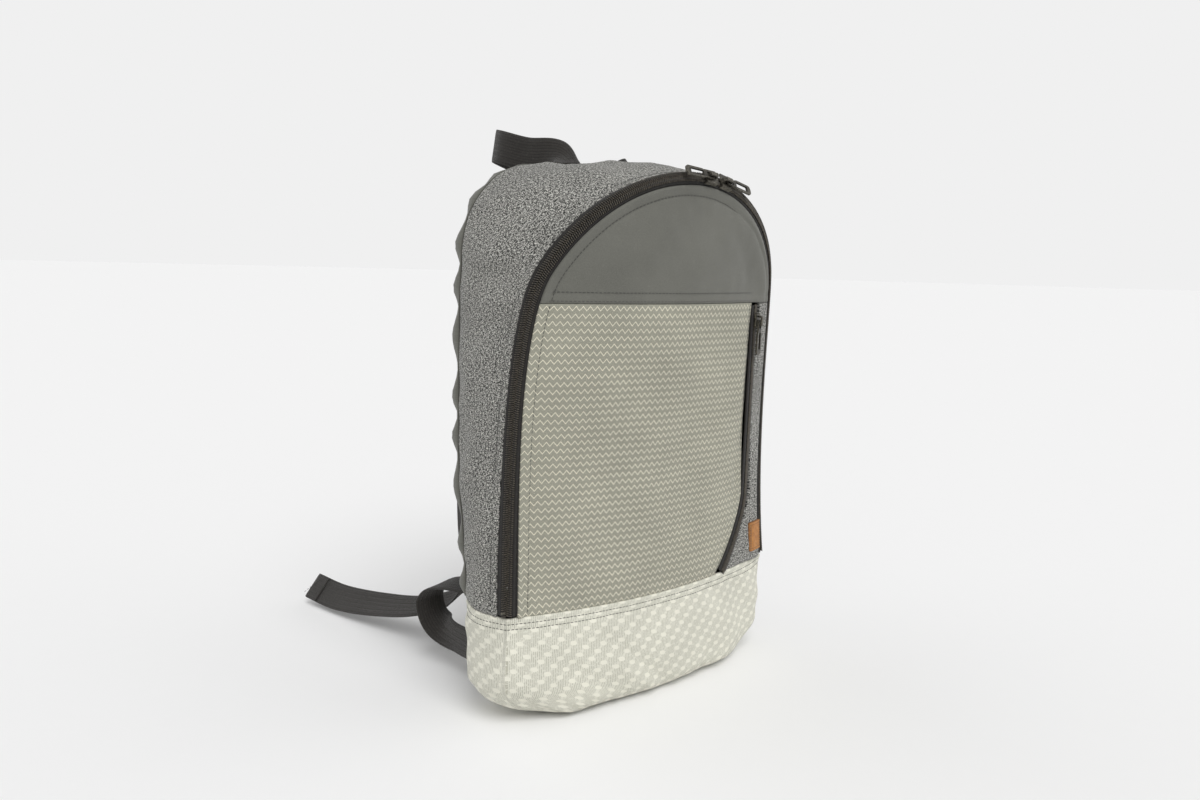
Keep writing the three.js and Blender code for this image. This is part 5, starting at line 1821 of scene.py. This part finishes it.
@dataclass
class ShoulderStrap:
    """One padded strap with its webbing, ladder lock and adjuster webbing."""

    side: str
    back: BackPanel
    thickness: float = 10.0
    width: float = 62.0
    end_width: float = 40.0
    web: float = 28.0
    web_thickness: float = 1.8
    lock_length: float = 30.0
    anchor: tuple = (127.0, 33.0, 18.0, 56.0, 26.0)

    @property
    def sign(self) -> float:
        """-1 on the left and 1 on the right."""
        return -1.0 if self.side == "left" else 1.0

    @property
    def body(self) -> str:
        """The body of this strap."""
        return f"strap_{self.side}"

    def route(self, count: int) -> Array:
        """Middle line of the pad."""
        half, foot, tall, thick = self.back.patch
        depth = float(self.back.depth(np.array([40.0]), np.array([420.0]))[0])
        y = depth + thick + 2 * SIZE.gap + self.thickness / 2 + 0.6
        s = self.sign
        return curve_through([
            (s * 40, y, 428), (s * 42, y + 2.5, 408), (s * 49, y + 22, 366), (s * 60, y + 42, 310),
            (s * 73, y + 47, 245), (s * 88, y + 36, 182), (s * 101, y + 20, 138), (s * 106, y + 13, 118),
        ], count)

    def pad_width(self, share: Array) -> Array:
        """Width along the strap."""
        widened = lerp(46.0, self.width, smooth(share * 4))
        return widened - (self.width - self.end_width) * smooth(share * 2 - 1)

    def make(self) -> None:
        """Builds the pad, its binding, the webbings and the anchor tab."""
        self.pad()
        self.webbing()
        self.adjuster()
        self.anchor_tab()

    def pad(self) -> None:
        """The padded strap, inflated between its bound edges and its webbing."""
        count = 96
        middle = self.route(count)
        share = np.linspace(0, 1, count + 1)
        along = unit(np.gradient(middle, axis=0))
        across = np.broadcast_to(np.array([1.0, 0, 0]), middle.shape)
        face = unit(np.cross(across, along))
        half = self.pad_width(share)[:, None] / 2
        sides = np.linspace(-1, 1, 17)
        bulge = 0.42 + 0.58 * np.sqrt(np.maximum(0, 1 - np.abs(sides) ** 3))
        quilt = 1 - 0.10 * np.exp(-((share[:, None] * 290 % 38 - 19) / 3.0) ** 2)
        top = np.stack([
            middle + across * half * s + face * (b * self.thickness / 2 - 0.4) * quilt
            for s, b in zip(sides, bulge)
        ], 1)
        low = np.stack([
            middle + across * half * s - face * (b * self.thickness / 2 - 0.4) * quilt
            for s, b in zip(sides, bulge)
        ], 1)
        run = arc_length(middle)
        uv = np.stack([np.stack([half[:, 0] * s, run], 1) for s in sides], 1)
        piece = shell(f"strap_pad_{self.side}", top, low, uv, [TWILL.material(), LINING.material()])
        edge = np.broadcast_to((np.abs(sides) > 0.93)[None, :], top.shape[:2])
        under = np.broadcast_to((np.abs(sides) < 0.45)[None, :], top.shape[:2])
        ends = np.zeros(top.shape[:2], bool)
        ends[:2] = ends[-2:] = True
        held = np.concatenate([(edge | under | ends).ravel(), (edge | ends).ravel()])
        puffed(piece, held, 3.0, 1.6, 14)
        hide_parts(f"strap_lining_{self.side}", f"strap_foam_{self.side}", f"strap_cloth_{self.side}")
        dress(piece, self.body)
        for edge_name, s in (("in", -self.sign), ("out", self.sign)):
            line = middle + across * half * s
            points, _ = resample(line, face, 2.0)
            tilt = np.stack(
                [np.interp(np.linspace(0, 1, len(points)), share, face[:, k]) for k in range(3)], 1
            )
            bound = band(f"strap_binding_{edge_name}_{self.side}", points, 7.6, tilt, 2.2, WEBBING)
            dress(bound, self.body)
        lines = [(middle + across * half * s * 0.9 + face * (self.thickness * 0.36), face) for s in (-1, 1)]
        stitches(f"strap_stitches_{self.side}", lines, THREAD_DARK, self.body)

    def webbing(self) -> None:
        """Webbing sewn down the middle of the strap, with its rows of stitches."""
        middle = self.route(110)
        along = unit(np.gradient(middle, axis=0))
        across = np.broadcast_to(np.array([1.0, 0, 0]), middle.shape)
        face = unit(np.cross(across, along))
        rise = self.thickness / 2 + SIZE.gap + self.web_thickness / 2
        line = middle + face * rise
        piece = band(
            f"strap_webbing_{self.side}_woven", line, self.web, across, self.web_thickness, WEBBING, True
        )
        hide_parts(f"strap_webbing_{self.side}")
        dress(piece, self.body)
        over = face * (rise + self.web_thickness / 2)
        lines = [(middle + across * s * (self.web / 2 - 2.4) + over, face) for s in (-1, 1)]
        for at in (8, 30, 80, 102):
            step = np.linspace(-1, 1, 12)[:, None] * (self.web / 2 - 2.4)
            lines.append((middle[at] + over[at] + across[at] * step, np.broadcast_to(face[at], (12, 3))))
        stitches(f"webbing_stitches_{self.side}", lines, THREAD_GREY, self.body)

    def adjuster(self) -> None:
        """Webbing from the anchor through the lock, and its free tail with a folded hem."""
        s = self.sign
        route = self.route(400)
        along = unit((route[-1] - route[-2]) * [0, 1, 1])
        lock = route[-1] + along * 1.2
        foot = lock + along * (self.lock_length + 1)
        x, y, _, _, reach = self.anchor
        loop = curve_through([
            (s * x, y + reach + 0.5, 37), (s * 127, 84, 36), (s * 127, 107, 38), (s * 128, 124, 47),
            (s * 128, 129, 60), (s * 126, 121, 73), (s * 121, 104, 80), (s * 113, foot[1] + 9, foot[2] - 4),
            tuple(foot + [s * 2, -1, -1.5]),
        ], 150)
        upright = unit(np.array([0, -0.25, 1.0]))
        share = np.linspace(0, 1, 151)[:, None]
        level = np.array([-s, 0, 0.2])
        tilt = lerp(upright, level, smooth((share - 0.12) / 0.3))
        piece = band(f"lower_webbing_{self.side}_woven", loop, self.web, tilt, self.web_thickness, WEBBING)
        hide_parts(f"lower_webbing_{self.side}")
        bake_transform(piece)
        start = lock + along * self.lock_length / 2 + [-s * 2, 7, 0]
        tail = curve_through([
            tuple(start), (s * 96, start[1] + 18, start[2] - 9), (s * 91, start[1] + 40, 70),
            (s * 93, 140, 51),
            (s * 112, 175, 35), (s * 128, 230, 23), (s * 144, 290, 16.5), (s * 153, 335, 18),
        ], 170)
        share = np.linspace(0, 1, 171)[:, None]
        leaning = unit(np.array([-s * 0.87, 0, 0.5]))
        twisted = unit(np.array([-s * 0.66, -0.43, 0.63]))
        tilt = lerp(lerp(level, leaning, smooth(share * 4)), twisted, smooth((share - 0.5) / 0.4))
        tail_piece = band(
            f"webbing_tail_{self.side}_woven", tail, self.web, tilt, self.web_thickness, WEBBING
        )
        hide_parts(f"webbing_tail_{self.side}")
        dress(tail_piece, self.body)
        face = unit(np.cross(tilt, unit(np.gradient(tail, axis=0))))
        hem = band(
            f"tail_hem_{self.side}", tail[-11:] + face[-11:] * 1.5, self.web - 0.4, tilt[-11:], 1.6, WEBBING
        )
        dress(hem, self.body)
        lines = []
        for lift in (-1.1, 2.4):
            for at in (-10, -2):
                step = np.linspace(-1, 1, 12)[:, None] * (self.web / 2 - 1.5)
                out = np.broadcast_to(face[at] * np.sign(lift), (12, 3))
                lines.append((tail[at] + face[at] * lift + unit(tilt[at]) * step, out))
        stitches(f"tail_stitches_{self.side}", lines, THREAD_GREY, self.body)

    def anchor_tab(self) -> None:
        """The cloth wedge that ties the webbing to the boot."""
        x, y, foot, top, reach = self.anchor
        u = crowded(0, reach, 14, 3)
        v = crowded(0, 1, 12, 0.2)
        gu, gv = np.meshgrid(u, v, indexing="ij")
        share = gu / reach
        low, high = lerp(foot - 6, foot + 5, share), lerp(top + 6, top - 5, share)
        z = lerp(low, high, gv)
        edge = np.minimum(np.minimum(reach - gu, (high - low) * np.minimum(gv, 1 - gv)), gu + 4)
        puff = 1.4 + rounded(edge, 2.0, 0.8) + dent(edge - 3.0, 0.35, 1.0) + 0.25 * ripples(gu, z, 20, 8, 61)
        outer = vec(self.sign * x + self.sign * puff, y + gu, z)
        inner = vec(self.sign * x - self.sign * puff, y + gu, z)
        piece = shell(
            f"anchor_tab_{self.side}_cloth", outer, inner, np.stack([gu, z], -1), [TWILL.material()] * 2
        )
        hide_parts(f"anchor_tab_{self.side}")
        dress(piece, "pack")


@dataclass
class HaulLoop:
    """The grab loop, flopped over the back."""

    width: float = 28.0
    thickness: float = 1.8

    def make(self) -> None:
        """Builds the loop and its bar stitches."""
        top = SIZE.height
        route = curve_through([
            (-42, 43, top + 4), (-46, 55, top + 11), (-58, 82, top + 13), (-71, 108, top + 20),
            (-64, 124, top + 22),
            (-35, 129, top + 15), (10, 121, top + 3), (38, 94, top - 2), (46, 62, top + 5), (42, 43, top + 4),
        ], 220)
        share = np.linspace(0, 1, 221)[:, None]
        leg = np.where(share < 0.5, 1.0, -1.0) * np.array([1.0, 0, 0])
        upright = unit(np.array([0, -0.25, 1.0]))
        tilt = lerp(leg, upright, smooth(np.minimum(share, 1 - share) / 0.2))
        piece = band("haul_loop_woven", route, self.width, tilt, self.thickness, WEBBING)
        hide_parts("haul_loop")
        dress(piece, "haul_loop")
        face = unit(np.cross(tilt, unit(np.gradient(route, axis=0))))
        lines = []
        for at in (12, 208):
            step = np.linspace(-1, 1, 12)[:, None] * (self.width / 2 - 2)
            lines.append(
                (route[at] + unit(tilt[at]) * step + face[at] * 1.0, np.broadcast_to(face[at], (12, 3)))
            )
            lines.append(
                (route[at] + unit(tilt[at]) * step - face[at] * 1.0, np.broadcast_to(-face[at], (12, 3)))
            )
        stitches("haul_loop_stitches", lines, THREAD_GREY, "haul_loop")


@dataclass
class Hardware:
    """Frame nodes whose shape is right: they get rounded edges and a finish."""

    metal: tuple = ("main_left_slider", "main_left_pull", "main_right_slider", "main_right_pull",
        "pocket_slider",
                    "pocket_pull", "zip_stop_left", "zip_stop_right")
    plastic: tuple = ("ladder_lock_left", "ladder_lock_right")

    def make(self) -> None:
        """Dresses the metal and plastic nodes."""
        for names, finish, radius in ((self.metal, GUNMETAL, 0.28), (self.plastic, PLASTIC, 0.7)):
            for name in names:
                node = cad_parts[name]
                node.data.materials.clear()
                node.data.materials.append(finish.material())
                bevel = node.modifiers.new("softened edges", "BEVEL")
                bevel.width = radius * MM
                bevel.segments = 3
                bevel.limit_method = "ANGLE"
                bevel.angle_limit = math.radians(38)
                node.data.shade_smooth()
                smooth_angle = node.modifiers.new("even shading", "WEIGHTED_NORMAL")
                smooth_angle.keep_sharp = True
                log.info("%s: finish %s", name, finish.name)


# ---- Studio --------------------------------------------------------------------------------------------


@dataclass
class Studio:
    """Pale floor, soft light and the camera."""

    azimuth: float = -39.87
    elevation: float = 8.14
    roll: float = 1.49
    target: tuple = (-0.0375, 0.0, 0.2543)
    distance: float = 0.8029
    lens: float = 28.307
    paper: tuple = shade(246, 246, 246)

    def directions(self) -> tuple[Vector, Vector, Vector]:
        """Camera's right, up and back."""
        a, e, r = (math.radians(v) for v in (self.azimuth, self.elevation, self.roll))
        back = Vector((math.sin(a) * math.cos(e), -math.cos(a) * math.cos(e), math.sin(e)))
        right = Vector((math.cos(a), math.sin(a), 0))
        up = back.cross(right)
        return right * math.cos(r) + up * math.sin(r), up * math.cos(r) - right * math.sin(r), back

    def camera(self) -> None:
        """Places the camera."""
        right, up, back = self.directions()
        data = bpy.data.cameras.new("camera")
        data.sensor_width = 36
        data.lens = self.lens
        data.clip_start = 0.02
        data.clip_end = 200
        camera = bpy.data.objects.new("camera", data)
        matrix = camera.matrix_world.copy()
        place = Vector(self.target) + back * self.distance
        for row in range(3):
            matrix[row][0] = right[row]
            matrix[row][1] = up[row]
            matrix[row][2] = back[row]
            matrix[row][3] = place[row]
        camera.matrix_world = matrix
        bpy.context.scene.collection.objects.link(camera)
        bpy.context.scene.camera = camera

    def lamp(self, name: str, place: tuple, spread: float, power: float) -> None:
        """One far, wide light aimed at the object; spread is its width in degrees."""
        data = bpy.data.lights.new(name, "SUN")
        data.angle = math.radians(spread)
        data.energy = power
        lamp = bpy.data.objects.new(name, data)
        lamp.location = place
        aim = Vector((0, 0, 0.22)) - Vector(place)
        lamp.rotation_mode = "QUATERNION"
        lamp.rotation_quaternion = aim.to_track_quat("-Z", "Y")
        bpy.context.scene.collection.objects.link(lamp)

    def floor(self) -> None:
        """A wide round floor with a faint paper grain."""
        rings, sides = 24, 96
        radius = 40000 * (np.linspace(0, 1, rings + 1)[1:] ** 3)
        turn = np.linspace(0, 2 * math.pi, sides, endpoint=False)
        points = [(0, 0, -0.2)] + [(r * math.cos(a), r * math.sin(a), -0.2) for r in radius for a in turn]
        faces = [(0, 1 + s, 1 + (s + 1) % sides) for s in range(sides)]
        faces += [tuple(1 + k for k in face) for face in grid_faces(rings, sides, 0, True)]
        material = bpy.data.materials.new("PaleFloor")
        material.use_nodes = True
        graph = Graph(material.node_tree)
        place = graph.add("ShaderNodeTexCoord").outputs["Object"]
        grain = graph.add("ShaderNodeTexNoise", {"Vector": place, "Scale": 60.0, "Detail": 3.0}).outputs[0]
        colour = graph.mix(graph.fit(grain, 0.3, 0.7, 0.0, 0.02), self.paper, shade(230, 230, 230))
        shader = graph.add(
            "ShaderNodeBsdfPrincipled", {"Base Color": colour, "Roughness": 0.95, "Specular IOR Level": 0.0}
        )
        graph.add("ShaderNodeOutputMaterial", {"Surface": shader.outputs[0]})
        make_object("floor", np.array(points), faces, [material])

    def make(self) -> None:
        """Builds the floor, lights, world and camera."""
        self.floor()
        self.camera()
        self.lamp("key", (-0.5, -1.5, 2.2), 40, 1.53)
        self.lamp("fill", (2.0, -1.2, 1.6), 60, 0.32)
        self.lamp("rim", (-1.2, 1.6, 1.8), 60, 0.32)
        world = bpy.data.worlds.new("soft room")
        world.use_nodes = True
        graph = Graph(world.node_tree)
        seen = graph.add("ShaderNodeBackground", {"Color": shade(240, 240, 240), "Strength": 1.0})
        light = graph.add("ShaderNodeBackground", {"Color": shade(240, 240, 240), "Strength": 0.55})
        is_seen = graph.add("ShaderNodeLightPath").outputs["Is Camera Ray"]
        both = graph.add("ShaderNodeMixShader", {0: is_seen, 1: light.outputs[0], 2: seen.outputs[0]})
        graph.add("ShaderNodeOutputWorld", {"Surface": both.outputs[0]})
        bpy.context.scene.world = world
        bpy.context.scene.view_settings.view_transform = "Standard"


def main() -> None:
    """Builds the daypack piece by piece, then the studio."""
    door = Door()
    back = BackPanel()
    parts = [Boot(), Gusset(), back, HaulLoop(), door, MainZip(), PocketZip(door),
             ShoulderStrap("left", back), ShoulderStrap("right", back), Hardware(), Studio()]
    for part in parts:
        log.info("building %s", type(part).__name__)
        part.make()


if __name__ == "__main__":
    main()
